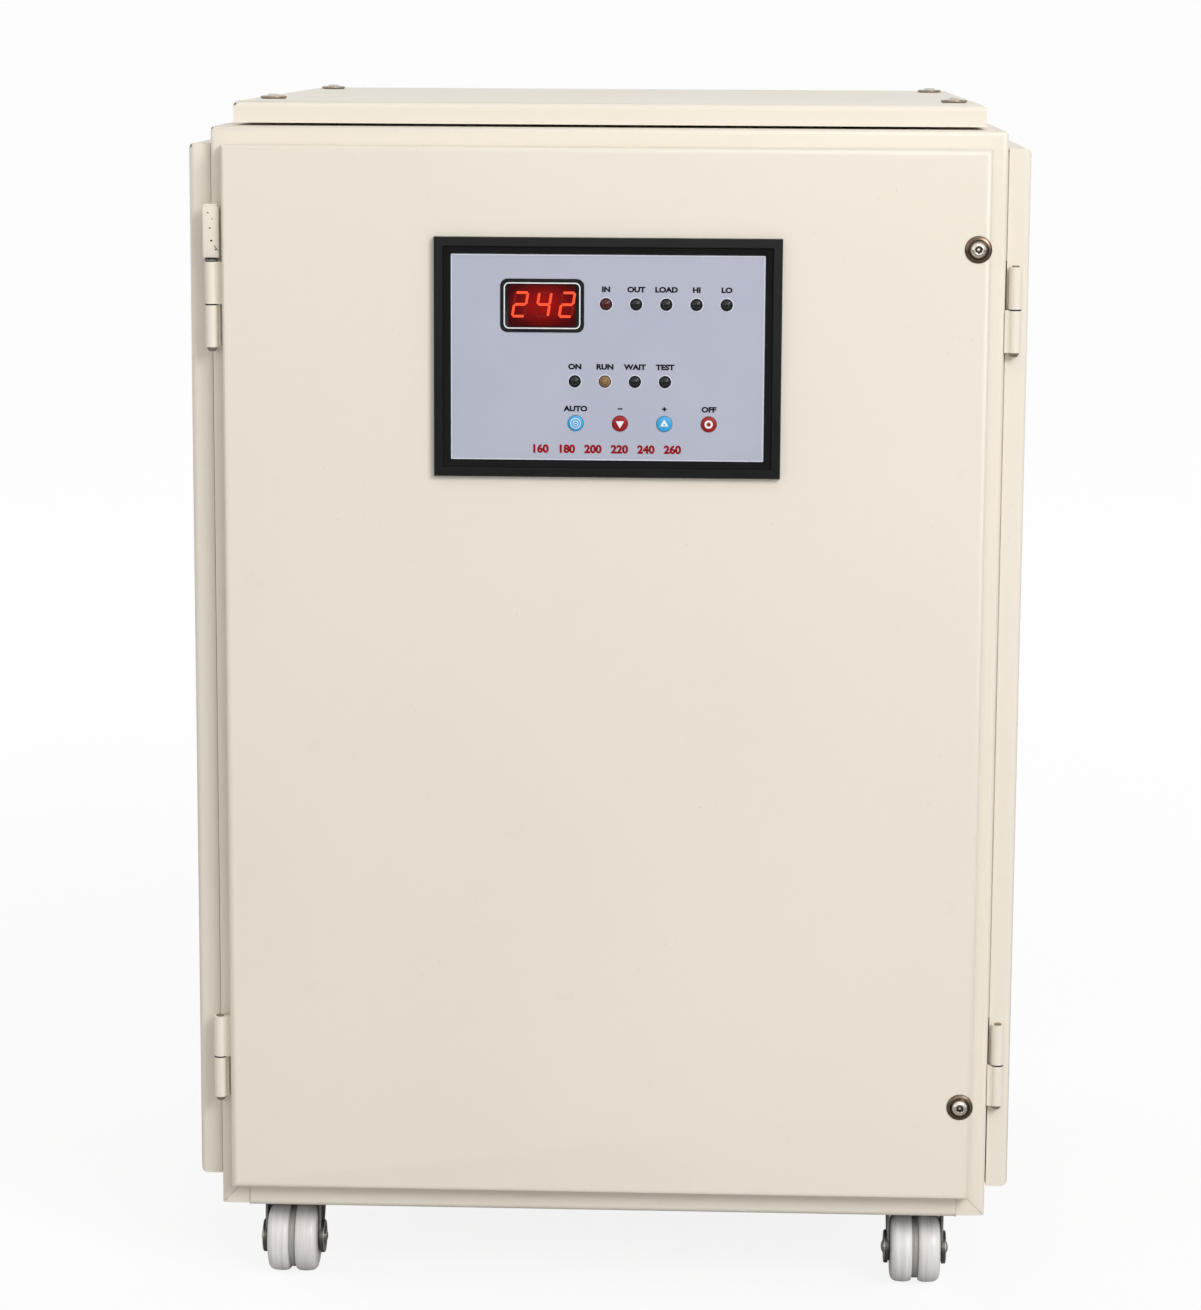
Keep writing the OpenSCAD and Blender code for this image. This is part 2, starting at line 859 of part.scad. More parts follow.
// Puts a piece at each cover screw, at the height of the call
module at_cover_screws() {
    for (side = [-1, 1],
         y = [cover_front_gap + cover_screw_in_y, frame_d - cover_back_gap - cover_screw_in_y])
        translate([side * cover_screw_x, y, 0]) children();
}

module top_cover() color(paint) in_cabinet() difference() {
    union() {
        translate([0, cover_front_gap, frame_h + cover_lift]) difference() {
            bent_cap(cover_w, cover_d, cover_depth, bend_r);
            translate([0, sheet_t, -sheet_t])
                bent_cap(cover_w - 2 * sheet_t, cover_d - 2 * sheet_t, cover_depth, inner_bend_r);
        }
        at_cover_screws() translate([0, 0, frame_h])
            cylinder(h = cover_rise - sheet_t / 2, r = spacer_r);
    }
    at_cover_screws() translate([0, 0, frame_h - overrun])
        cylinder(h = cover_rise + 2 * overrun, r = screw_r + bolt_play);
}

module cover_screws() color(bright_metal) in_cabinet() at_cover_screws() {
    translate([0, 0, frame_h + cover_rise]) rotate([-90, 0, 0]) socket_head();
    translate([0, 0, frame_h + cover_rise - screw_len]) cylinder(h = screw_len, r = screw_r);
    translate([0, 0, frame_h - sheet_t - nut_h]) nut(nut_af, nut_h, screw_r + seat_fit);
}

// Cooling fan

// Puts a piece on the fan's axis at the inner face of the fan
module at_fan() {
    translate([fan_mid_x, frame_d - fan_depth, frame_h - fan_down]) children();
}

module fan_frame() color(black_plastic) in_cabinet() at_fan() difference() {
    union() {
        rotate([-90, 0, 0]) linear_extrude(fan_depth) difference() {
            square(fan_w, center = true);
            circle(fan_bore_r);
            for (sx = [-1, 1], sz = [-1, 1])
                translate([sx, sz] * (fan_w / 2 - fan_hole_in)) circle(fan_hole_r);
        }
        rod_y(fan_hub_r, fan_plate_t);
        rod_y(fan_stator_r, fan_plate_t + fan_stator_h);
        for (turn = [0:90:270])
            rotate([0, turn, 0]) translate([fan_hub_r / 2, 0, -fan_strut_w / 2])
                cube([fan_bore_r - fan_hub_r / 2 + fan_strut_root, fan_plate_t, fan_strut_w]);
    }
    translate([0, -overrun, 0])
        rod_y(fan_shaft_r + running_fit, fan_plate_t + fan_stator_h + 2 * overrun);
}

module fan_impeller() color(dark_metal) in_cabinet() at_fan() {
    cup_y = fan_plate_t + fan_cup_gap;
    difference() {
        translate([0, cup_y, 0]) rod_y(fan_hub_r, fan_cup_h);
        translate([0, cup_y - overrun, 0])
            rod_y(fan_hub_r - fan_cup_wall, fan_cup_h - fan_cup_wall + overrun);
    }
    translate([0, fan_plate_t / 2, 0]) rod_y(fan_shaft_r, cup_y + fan_cup_h - fan_cup_wall);
    intersection() {
        for (blade = [0:fan_blade_count - 1])
            rotate([0, blade * 360 / fan_blade_count, 0])
                translate([fan_hub_r - fan_cup_wall / 2, cup_y + fan_cup_h / 2, 0])
                    rotate([fan_blade_tilt, 0, 0])
                        translate([0, -fan_blade_chord / 2, -fan_blade_t / 2])
                            cube([fan_bore_r - fan_hub_r, fan_blade_chord, fan_blade_t]);
        rod_y(fan_bore_r - fan_tip_gap, fan_depth);
    }
}

module fan_guard() color(bright_metal) in_cabinet() at_fan() translate([0, fan_depth + sheet_t, 0]) {
    lug = fan_w / 2 - fan_hole_in;
    for (share = guard_ring_shares)
        translate([0, guard_lug_t + guard_sink_share * guard_wire_r, 0]) rotate([-90, 0, 0])
            rotate_extrude() translate([share * fan_bore_r, 0]) circle(guard_wire_r);
    for (turn = [45, 135])
        rotate([0, turn, 0]) translate([-lug * sqrt(2), 0, -guard_bar_w / 2])
            cube([2 * lug * sqrt(2), guard_lug_t, guard_bar_w]);
    for (sx = [-1, 1], sz = [-1, 1])
        translate([sx * lug, 0, sz * lug]) rod_y(guard_lug_r, guard_lug_t);
}

// Cable glands

module cable_glands() color(black_plastic) in_cabinet() for (x = gland_xs)
    translate([x, frame_d + sheet_t, gland_up]) {
        difference() {
            union() {
                translate([0, -gland_neck, 0]) rod_y(gland_thread_r, gland_neck);
                rotate([-90, 0, 0]) hexagon(gland_hex_af, gland_hex_h);
                translate([0, gland_hex_h, 0]) rod_y(gland_dome_r, gland_dome_h);
                translate([0, gland_hex_h + gland_dome_h, 0]) rotate([-90, 0, 0])
                    cylinder(h = gland_cone_h, r1 = gland_dome_r, r2 = gland_tip_r);
            }
            translate([0, -gland_neck - overrun, 0])
                rod_y(gland_bore_d / 2, gland_neck + gland_reach + 2 * overrun);
        }
        translate([0, -sheet_t, 0]) rotate([90, 0, 0])
            nut(gland_hex_af, gland_nut_h, gland_thread_r + seat_fit);
    }

// Shelf and upright plate

module mounting_shelf() color(zinc_grey) in_cabinet() {
    inner_w = frame_w - 2 * sheet_t;
    translate([-inner_w / 2, shelf_end_gap, shelf_up]) cube([inner_w, frame_d - 2 * shelf_end_gap, shelf_t]);
    for (y = [shelf_end_gap, frame_d - shelf_end_gap - shelf_t])
        translate([-inner_w / 2, y, shelf_up - shelf_flange]) cube([inner_w, shelf_t, shelf_flange]);
}

module mounting_plate() color(zinc_grey) in_cabinet() {
    translate([plate_x0, plate_y, floor_z]) {
        cube([plate_x1 - plate_x0, plate_t, plate_h]);
        cube([plate_x1 - plate_x0, plate_foot, plate_t]);
    }
}

// Transformer

// Puts a piece at the middle of the transformer's foot on the base tray
module at_transformer() {
    translate([core_mid_x, core_mid_y, floor_z]) children();
}

// Places of the through bolts in the core's corners, on its front face
module at_clamp_bolts() {
    for (sx = [-1, 1], z = [core_up + core_leg / 2, core_up + core_h - core_leg / 2])
        translate([sx * (core_w - core_leg) / 2, -core_stack / 2, z]) children();
}

module transformer_core() color(steel_grey) in_cabinet() at_transformer() difference() {
    translate([-core_w / 2, -core_stack / 2, core_up]) cube([core_w, core_stack, core_h]);
    for (side = [-1, 1])
        translate([side * (core_leg + core_window_w / 2) - core_window_w / 2, -core_stack / 2 - overrun,
                   core_up + core_leg])
            cube([core_window_w, core_stack + 2 * overrun, core_window_h]);
    at_clamp_bolts() translate([0, -overrun, 0]) rod_y(clamp_bolt_r + bolt_play, core_stack + 2 * overrun);
}

module transformer_coil() color(tape_yellow) in_cabinet() at_transformer()
    translate([0, 0, core_up + core_leg]) linear_extrude(core_window_h - coil_play) difference() {
        round_rect(2 * (core_leg + coil_wall), core_stack + 2 * coil_wall + 2 * coil_play, coil_round);
        square([2 * core_leg + coil_play, core_stack + coil_play], center = true);
    }

module transformer_clamps() color(dark_metal) in_cabinet() at_transformer() {
    for (face = [0, 1])
        rotate(face * 180) {
            difference() {
                translate([-core_w / 2 - clamp_over, -core_stack / 2, 0]) {
                    translate([0, -clamp_t, 0])
                        cube([core_w + 2 * clamp_over, clamp_t, clamp_leg + core_up]);
                    translate([0, -clamp_leg, 0]) cube([core_w + 2 * clamp_over, clamp_leg, clamp_t]);
                    translate([0, -clamp_t, core_up + core_h - clamp_leg])
                        cube([core_w + 2 * clamp_over, clamp_t, clamp_leg]);
                    translate([0, -clamp_leg, core_up + core_h - clamp_t])
                        cube([core_w + 2 * clamp_over, clamp_leg, clamp_t]);
                }
                at_clamp_bolts() translate([0, -clamp_leg - overrun, 0])
                    rod_y(clamp_bolt_r + bolt_play, clamp_leg + 2 * overrun);
            }
        }
    at_clamp_bolts() {
        translate([0, -clamp_t - clamp_bolt_head_h / 2, 0])
            rod_y(clamp_bolt_r, core_stack + 2 * clamp_t + clamp_bolt_head_h);
        translate([0, -clamp_t - seat_fit, 0]) rotate([90, 0, 0])
            hexagon(2 * clamp_bolt_head_r, clamp_bolt_head_h);
        translate([0, core_stack + clamp_t + seat_fit, 0]) rotate([-90, 0, 0])
            hexagon(2 * clamp_bolt_head_r, clamp_bolt_head_h);
    }
}

// Variable transformer

// Puts a piece on the variable transformer's shaft axis at the shelf's top
module at_variac() {
    translate([variac_x, variac_y, shelf_top]) children();
}

module variac_base() color(steel_grey) in_cabinet() at_variac() {
    difference() {
        cylinder(h = variac_foot_t, r = variac_foot_r);
        translate([0, 0, variac_foot_t / 2]) cylinder(h = variac_foot_t, r = shaft_r + running_fit);
    }
    for (side = [-1, 1])
        translate([0, side * pillar_at, 0]) cylinder(h = bridge_z + bridge_t, r = pillar_r);
    difference() {
        translate([-bridge_w / 2, -pillar_at - pillar_r, bridge_z])
            cube([bridge_w, 2 * (pillar_at + pillar_r), bridge_t]);
        translate([0, 0, bridge_z - overrun])
            cylinder(h = bridge_t + 2 * overrun, r = shaft_r + running_fit);
        translate([0, -gear_distance, bridge_z - overrun])
            cylinder(h = bridge_t + 2 * overrun, r = pinion_hole_r);
    }
}

module variac_coil() color(copper_tone) in_cabinet() at_variac() translate([0, 0, variac_foot_t])
    rotate_extrude() translate([(variac_d + variac_bore) / 4, variac_h / 2])
        round_rect((variac_d - variac_bore) / 2, variac_h, variac_round);

module brush_arm() color(zinc_grey) in_cabinet() at_variac() {
    translate([0, 0, variac_foot_t / 2 + plain_gap])
        cylinder(h = bridge_z + bridge_t + shaft_over - variac_foot_t / 2 - plain_gap, r = shaft_r);
    translate([0, 0, arm_z]) {
        cylinder(h = arm_t, r = arm_hub_r);
        translate([-arm_w / 2, -arm_reach, 0]) cube([arm_w, arm_reach, arm_t]);
    }
}

module carbon_brush() color(carbon_black) in_cabinet() at_variac()
    translate([-brush_w / 2, brush_in - arm_reach, coil_top + brush_gap])
        cube([brush_w, brush_len, arm_up - brush_gap]);

// Involute tooth flank from the base circle to the tip, as points about the tooth's middle
function involute_point(base, radius, half_angle) =
    let (a = acos(base / radius),
         spread = half_angle - (tan(a) * 180 / PI - a))
    [radius * cos(spread), radius * sin(spread)];

// Outline of one gear, thinned on both flanks for the backlash, with a tooth along +X
module gear_outline(teeth) {
    ref = gear_module * teeth / 2;
    tip = ref + gear_module - gear_root_play;
    root = ref - 1.25 * gear_module;
    base = ref * cos(gear_pressure);
    start = max(base * 1.0001, root);
    involute = tan(gear_pressure) * 180 / PI - gear_pressure;
    half_angle = 90 / teeth - gear_backlash / 4 / ref * 180 / PI + involute;
    flank = [for (i = [0:gear_flank_steps])
        involute_point(base, start + (tip - start) * i / gear_flank_steps, half_angle)];
    tooth = concat(
        [[root * cos(180 / teeth), -root * sin(180 / teeth)],
         [root * cos(atan2(flank[0][1], flank[0][0])), -root * sin(atan2(flank[0][1], flank[0][0]))]],
        [for (p = flank) [p[0], -p[1]]],
        [for (i = [gear_flank_steps:-1:0]) flank[i]],
        [[root * cos(atan2(flank[0][1], flank[0][0])), root * sin(atan2(flank[0][1], flank[0][0]))]]);
    polygon([for (k = [0:teeth - 1]) for (p = tooth)
        let (c = cos(k * 360 / teeth), s = sin(k * 360 / teeth))
            [c * p[0] - s * p[1], s * p[0] + c * p[1]]]);
}

module drive_gear() color(switch_white) in_cabinet() at_variac()
    translate([0, 0, gear_z]) difference() {
        rotate(-90) linear_extrude(gear_t) gear_outline(gear_teeth);
        translate([0, 0, -overrun]) cylinder(h = gear_t + 2 * overrun, r = shaft_r + seat_fit);
    }

module motor_pinion() color(bright_metal) in_cabinet() at_variac() translate([0, -gear_distance, gear_z]) {
    rotate(90 + 180 / pinion_teeth) linear_extrude(gear_t) gear_outline(pinion_teeth);
    cylinder(h = gear_t + bridge_lift + bridge_t + pinion_seat, r = pinion_shaft_r);
}

module servo_motor() color(dark_metal) in_cabinet() at_variac()
    translate([0, -gear_distance, bridge_z + bridge_t]) difference() {
        cylinder(h = motor_h, r = motor_d / 2);
        translate([0, 0, -overrun])
            cylinder(h = overrun + pinion_seat + plain_gap, r = pinion_shaft_r + running_fit);
    }

module limit_switches() color(black_plastic) in_cabinet() at_variac()
    for (side = [-1, 1])
        translate([side * switch_from_mid - switch_w / 2, pillar_at - pillar_r - switch_len - plain_gap,
                   bridge_z - switch_h])
            cube([switch_w, switch_len, switch_h]);

// Control board

// Puts a piece at the middle of the control board's upper face
module at_board() {
    translate([board_x, board_y, shelf_top + standoff_h + board_t]) children();
}

module control_board() color(board_green) in_cabinet() at_board() {
    translate([-board_w / 2, -board_d / 2, -board_t]) cube([board_w, board_d, board_t]);
    for (sx = [-1, 1], sy = [-1, 1])
        translate([sx * (board_w / 2 - standoff_in), sy * (board_d / 2 - standoff_in),
                   -board_t - standoff_h])
            cylinder(h = standoff_h - seat_fit, r = standoff_r);
}

module board_parts() color(switch_white) in_cabinet() at_board() {
    for (i = [0:relay_count - 1])
        translate([relay_x - relay_w / 2, (i - (relay_count - 1) / 2) * relay_pitch - relay_d / 2, 0])
            cube([relay_w, relay_d, relay_h]);
    translate([supply_x - supply_w / 2, supply_y - supply_d / 2, 0]) cube([supply_w, supply_d, supply_h]);
    for (i = [-1:1])
        translate([can_x + i * can_pitch + can_pitch, can_y, 0]) cylinder(h = can_h, r = can_r);
    translate([sink_x - sink_w / 2, sink_y - sink_d / 2, 0]) {
        cube([sink_w, sink_d, sink_base]);
        for (i = [0:sink_fins - 1])
            translate([i * (sink_w - sink_fin_t) / (sink_fins - 1), 0, 0])
                cube([sink_fin_t, sink_d, sink_h]);
    }
    translate([plug_strip_x - plug_strip_w / 2, plug_strip_y - plug_strip_d / 2, 0])
        cube([plug_strip_w, plug_strip_d, plug_strip_h]);
}

// Contactor, breaker and terminals

module contactor() color(black_plastic) in_cabinet()
    translate([contactor_x, plate_y, contactor_up]) difference() {
        translate([-contactor_w / 2, -contactor_d, -contactor_h / 2])
            cube([contactor_w, contactor_d, contactor_h]);
        translate([-slide_w / 2 - slide_play, -contactor_d - overrun, -slide_h / 2 - slide_play])
            cube([slide_w + 2 * slide_play, overrun + slide_in + slide_out, slide_h + 2 * slide_play]);
    }

module contactor_slide() color(switch_white) in_cabinet()
    translate([contactor_x - slide_w / 2, plate_y - contactor_d - slide_out, contactor_up - slide_h / 2])
        cube([slide_w, slide_out + slide_in, slide_h]);

// Puts a piece on the breaker toggle's axis
module at_toggle() {
    translate([breaker_x, plate_y - breaker_d - breaker_nose_d + toggle_r + toggle_play, breaker_up])
        children();
}

module breaker() color(switch_white) in_cabinet() difference() {
    translate([breaker_x - breaker_w / 2, plate_y, breaker_up]) {
        translate([0, -breaker_d, -breaker_h / 2]) cube([breaker_w, breaker_d, breaker_h]);
        translate([0, -breaker_d - breaker_nose_d, -breaker_nose_h / 2])
            cube([breaker_w, breaker_nose_d + breaker_d, breaker_nose_h]);
    }
    at_toggle() translate([-toggle_w / 2 - toggle_play, 0, 0]) {
        rod_x(toggle_r + toggle_play, toggle_w + 2 * toggle_play);
        translate([0, -toggle_r - overrun, -toggle_slot_h / 2])
            cube([toggle_w + 2 * toggle_play, toggle_r / 2 + overrun, toggle_slot_h]);
    }
    at_toggle() translate([-breaker_w / 2 - overrun, 0, 0])
        rod_x(toggle_pin_r + running_fit, breaker_w + 2 * overrun);
}

module breaker_toggle() color(black_plastic) in_cabinet() at_toggle() {
    translate([-toggle_w / 2, 0, 0]) rod_x(toggle_r, toggle_w);
    translate([-breaker_w / 2 + plain_gap, 0, 0])
        rod_x(toggle_pin_r, breaker_w - 2 * plain_gap);
    rotate([-toggle_rest, 0, 0])
        translate([-toggle_w / 2, -toggle_len, -toggle_t / 2]) cube([toggle_w, toggle_len, toggle_t]);
}

module terminal_block() color(black_plastic) in_cabinet()
    translate([terminal_x, plate_y, terminal_up]) difference() {
        pitch = terminal_w / terminal_ways;
        slot_w = terminal_slot_share * pitch;
        translate([-terminal_w / 2, -terminal_d, -terminal_h / 2])
            cube([terminal_w, terminal_d, terminal_h]);
        for (i = [0:terminal_ways - 1])
            translate([-terminal_w / 2 + (i + 1 / 2) * pitch, -terminal_d - overrun, 0]) {
                rod_y(terminal_screw_r, overrun + terminal_slot_d);
                for (side = [-1, 1])
                    translate([-slot_w / 2, 0, side * terminal_h / 2 - slot_w / 2])
                        cube([slot_w, overrun + terminal_slot_d, slot_w]);
            }
    }

// Front door and control panel

// Puts a piece at the panel's centre on the door's face, with +Y into the door
module at_panel() {
    translate([panel_shift, -door_proud, frame_h - panel_down]) children();
}

// Repeats a piece at every indicator
module at_leds() {
    for (i = [0:led_row_one_count - 1])
        translate([led_row_one_x + i * led_pitch, 0, led_row_one]) children();
    for (i = [0:led_row_two_count - 1])
        translate([led_row_two_x + i * led_pitch, 0, led_row_two]) children();
}

module front_door() color(paint) in_cabinet() {
    cut_w = bezel_w - 2 * (bezel_border + cutout_border);
    cut_h = bezel_h - 2 * (bezel_border + cutout_border);
    difference() {
        translate([door_mid_x, -door_proud, door_bottom_gap]) door_pan(door_w, door_h, door_depth);
        at_panel() translate([-cut_w / 2, -overrun, -cut_h / 2]) cube([cut_w, sheet_t + 2 * overrun, cut_h]);
        for (z = [fastener_low, frame_h - fastener_high])
            translate([half_w - fastener_in, -door_proud - overrun, z])
                rod_y(stud_r + bolt_play, door_depth + 2 * overrun);
    }
    at_front_hinges() rotate(-90) door_knuckle(door_hinge_gap - front_pivot_in + sheet_t / 2);
}

// Fastener on its axis at the door's face: a flanged socket head, a stud and a cross bar
module door_fastener(z) {
    bar_y = door_proud + sheet_t + bar_gap;
    translate([half_w - fastener_in, -door_proud, z]) {
        socket_head();
        rod_y(stud_r, bar_y + bar_w);
        translate([-bar_w / 2, bar_y, -bar_len / 2]) cube([bar_w, bar_w, bar_len]);
    }
}

module door_fastener_upper() color(dark_metal) in_cabinet() door_fastener(frame_h - fastener_high);
module door_fastener_lower() color(dark_metal) in_cabinet() door_fastener(fastener_low);

// Section of the bezel's block, with its ridge towards -Y
module bezel_section(w) {
    ridge = w / 2 - bezel_outer_run;
    polygon([[-w / 2, 0], [-w / 2, -bezel_edge], [-ridge, -bezel_proud], [ridge, -bezel_proud],
             [w / 2, -bezel_edge], [w / 2, 0]]);
}

// Section of the opening inside the bezel's ridge
module bezel_hollow(w) {
    open = w / 2 - bezel_border;
    ridge = w / 2 - bezel_outer_run - bezel_ridge;
    polygon([[-open, overrun], [-open, -face_t], [-ridge, -bezel_proud], [-ridge, -bezel_proud - overrun],
             [ridge, -bezel_proud - overrun], [ridge, -bezel_proud], [open, -face_t], [open, overrun]]);
}

module panel_bezel() color(black_plastic) in_cabinet() at_panel() difference() {
    intersection() {
        translate([0, 0, -bezel_h / 2]) linear_extrude(bezel_h) bezel_section(bezel_w);
        translate([-bezel_w / 2, 0, 0]) rotate([90, 0, 90])
            linear_extrude(bezel_w) rotate(90) mirror([0, 1]) bezel_section(bezel_h);
    }
    intersection() {
        translate([0, 0, -bezel_h / 2]) linear_extrude(bezel_h) bezel_hollow(bezel_w);
        translate([-bezel_w / 2, 0, 0]) rotate([90, 0, 90])
            linear_extrude(bezel_w) rotate(90) mirror([0, 1]) bezel_hollow(bezel_h);
    }
}

module face_plate() color(plate_grey) in_cabinet() at_panel() difference() {
    w = bezel_w - 2 * bezel_border - 2 * face_play;
    h = bezel_h - 2 * bezel_border - 2 * face_play;
    translate([-w / 2, -face_t, -h / 2]) cube([w, face_t, h]);
    translate([display_x, overrun, display_z]) rotate([90, 0, 0])
        linear_extrude(face_t + 2 * overrun)
            round_rect(display_w + 2 * display_play, display_h + 2 * display_play, cut_round);
    at_leds() translate([0, -face_t - overrun, 0]) rod_y(led_d / 2 + led_play, face_t + 2 * overrun);
    for (x = button_xs)
        translate([x, -face_t - overrun, button_row])
            rod_y(button_d / 2 + button_play, face_t + 2 * overrun);
}

module display_module() color(black_plastic) in_cabinet() at_panel()
    translate([display_x, 0, display_z]) difference() {
        translate([0, circuit_back, 0]) rotate([90, 0, 0])
            linear_extrude(circuit_back + face_t + display_out) round_rect(display_w, display_h, cut_round);
        translate([-display_w / 2 + display_rim_x, -face_t - display_out - overrun,
                   -display_h / 2 + display_rim_z])
            cube([display_w - 2 * display_rim_x, overrun + display_sink, display_h - 2 * display_rim_z]);
    }

module led_lenses() color(carbon_black) in_cabinet() at_panel() at_leds() {
    sphere_r = (pow(led_d / 2 - led_rim, 2) + pow(led_dome, 2)) / (2 * led_dome);
    translate([0, -face_t - led_out, 0]) rod_y(led_d / 2, circuit_back + face_t + led_out);
    intersection() {
        translate([0, sphere_r - face_t - led_out - led_dome, 0]) sphere(sphere_r);
        translate([0, -face_t - led_out - led_dome, 0]) rod_y(led_d, led_dome + led_out / 4);
    }
}

module display_board() color(board_green) in_cabinet() at_panel() {
    translate([-circuit_w / 2, circuit_back, -circuit_h / 2]) cube([circuit_w, circuit_t, circuit_h]);
    for (sx = [-1, 1], sz = [-1, 1])
        translate([sx * (circuit_w / 2 - circuit_post_in), 0, sz * (circuit_h / 2 - circuit_post_in)])
            rod_y(circuit_post_r, circuit_back - seat_fit);
    for (x = button_xs)
        translate([x - tact_w / 2, circuit_back - tact_h, button_row - tact_w / 2])
            cube([tact_w, tact_h - seat_fit, tact_w]);
}

// Push button with a collar behind the face plate and a stem to its switch
module push_button(x) {
    stem_end = circuit_back - tact_h - button_travel - plain_gap;
    in_cabinet() at_panel() translate([x, 0, button_row]) {
        translate([0, -face_t - button_travel, 0])
            rod_y(button_d / 2, face_t + button_travel + plain_gap + button_collar_t / 2);
        translate([0, plain_gap, 0]) rod_y(button_d / 2 + button_collar, button_collar_t);
        translate([0, plain_gap, 0]) rod_y(button_stem_r, stem_end - plain_gap);
    }
}

module button_mode() color(signal_blue) push_button(button_xs[0]);
module button_down() color(signal_red) push_button(button_xs[1]);
module button_up() color(signal_blue) push_button(button_xs[2]);
module button_stop() color(signal_red) push_button(button_xs[3]);

// Side doors

// Puts a piece on the latch's axis at the inner face of the right door, with +Y outwards
module at_latch() {
    translate([half_w + side_proud - sheet_t, frame_d - post_leg - latch_off, latch_up])
        rotate(-90) children();
}

module side_door() {
    translate([half_w + side_proud, frame_d / 2, side_bottom_gap]) rotate(90)
        door_pan(side_w, side_h, side_depth);
    at_side_hinges() door_knuckle(side_end_gap - side_pivot_back + sheet_t / 2);
    at_latch() {
        translate([0, -latch_face, 0]) rod_y(latch_boss_r, latch_face + sheet_t / 2);
        translate([0, -latch_face - latch_t - 2 * latch_gap - latch_head_t, 0])
            rod_y(latch_pin_r, latch_t + 2 * latch_gap + latch_head_t + sheet_t / 2);
        translate([0, -latch_face - latch_t - 2 * latch_gap - latch_head_t, 0])
            rod_y(latch_head_r, latch_head_t);
    }
}

// Turn latch that hangs on the right door's boss
module side_latch() {
    at_latch() translate([0, -latch_face - latch_gap, 0]) rotate([90, 0, 0]) difference() {
        linear_extrude(latch_t) {
            translate([-latch_w / 2, -latch_reach + latch_w / 2])
                square([latch_w, latch_reach + latch_tail - latch_w / 2]);
            translate([0, -latch_reach + latch_w / 2]) circle(latch_w / 2);
        }
        translate([0, 0, -overrun]) cylinder(h = latch_t + 2 * overrun, r = latch_pin_r + running_fit);
    }
}

module right_door() color(paint) in_cabinet() side_door();
module left_door() color(paint) in_cabinet() half_turned() side_door();
module right_latch() color(zinc_grey) in_cabinet() side_latch();
module left_latch() color(zinc_grey) in_cabinet() half_turned() side_latch();

// Casters

// Puts a piece on one caster's swivel axis, at the ground
module at_caster(right, rear) {
    translate([(2 * right - 1) * (half_w - caster_in_x),
               cabinet_y + (rear ? frame_d - caster_in_y : caster_in_y), 0]) children();
}

module at_casters() {
    for (right = [0, 1], rear = [0, 1]) at_caster(right, rear) children();
}

// Puts a piece at each caster bolt, measured in the cabinet
module at_caster_bolts() {
    reach = caster_plate_w / 2 - caster_bolt_in;
    for (right = [0, 1], rear = [0, 1], sx = [-1, 1], sy = [-1, 1])
        translate([(2 * right - 1) * (half_w - caster_in_x) + sx * reach,
                   (rear ? frame_d - caster_in_y : caster_in_y) + sy * reach, 0]) children();
}

module caster_plates() color(dark_metal) difference() {
    at_casters() {
        translate([-caster_plate_w / 2, -caster_plate_w / 2, caster_top - caster_plate_t])
            cube([caster_plate_w, caster_plate_w, caster_plate_t]);
        translate([0, 0, caster_top - caster_plate_t - race_h]) cylinder(h = race_h + crown_gap, r = race_r);
        translate([0, 0, crown_top - crown_t - crown_gap - kingpin_head_h])
            cylinder(h = crown_t + 3 * crown_gap + kingpin_head_h + race_h, r = kingpin_r);
        translate([0, 0, crown_top - crown_t - crown_gap - kingpin_head_h])
            cylinder(h = kingpin_head_h, r = kingpin_head_r);
    }
    in_cabinet() at_caster_bolts() translate([0, 0, -rail_drop - caster_plate_t - overrun])
        cylinder(h = caster_plate_t + 2 * overrun, r = caster_bolt_r + bolt_play);
}

module caster_bolts() color(bright_metal) in_cabinet() at_caster_bolts() {
    head_z = -rail_drop - caster_plate_t - caster_bolt_head_h;
    translate([0, 0, head_z]) cylinder(h = caster_bolt_head_h, r = caster_bolt_head_r);
    translate([0, 0, head_z]) cylinder(
        h = caster_bolt_head_h + caster_plate_t + sheet_t + caster_nut_h, r = caster_bolt_r);
    translate([0, 0, floor_z]) nut(caster_nut_af, caster_nut_h, caster_bolt_r + seat_fit);
}

// Outline of one fork arm, seen from the side with the swivel axis at the origin
module arm_outline() {
    difference() {
        union() {
            polygon([[-trail - arm_foot_w / 2, axle_z], [-trail + arm_foot_w / 2, axle_z],
                     [arm_top_w / 2, crown_top], [-trail - arm_top_w / 4, crown_top]]);
            translate([-trail, axle_z]) circle(arm_foot_r);
        }
        translate([-trail, axle_z]) circle(axle_r + seat_fit);
    }
}

// Fork with its crown, two arms and hub discs, and the axle riveted in it
module caster_fork() {
    arm_x = wheel_w / 2 + fork_gap;
    difference() {
        union() {
            translate([0, 0, crown_top - crown_t]) cylinder(h = crown_t, r = crown_r);
            translate([-arm_x - fork_t, -trail - arm_top_w / 4, crown_top - crown_t])
                cube([2 * (arm_x + fork_t), trail + arm_top_w * 3 / 4, crown_t]);
            for (side = [0, 1])
                mirror([side, 0, 0]) {
                    translate([arm_x, 0, 0]) rotate([90, 0, 90]) linear_extrude(fork_t) arm_outline();
                    translate([arm_x + fork_t / 2, -trail, axle_z])
                        rod_x(hub_disc_r, fork_t / 2 + hub_disc_t);
                }
        }
        translate([0, 0, crown_top - crown_t - overrun])
            cylinder(h = crown_t + 2 * overrun, r = kingpin_r + running_fit);
        translate([-arm_x - 2 * overrun, -trail, axle_z])
            rod_x(axle_r + seat_fit, 2 * arm_x + 4 * overrun);
    }
    axle_half = arm_x + fork_t + hub_disc_t;
    translate([-axle_half - axle_head_h / 2, -trail, axle_z]) rod_x(axle_r, 2 * axle_half + axle_head_h);
    for (side = [0, 1])
        mirror([side, 0, 0]) translate([axle_half + seat_fit, -trail, axle_z])
            rod_x(axle_head_r, axle_head_h);
}

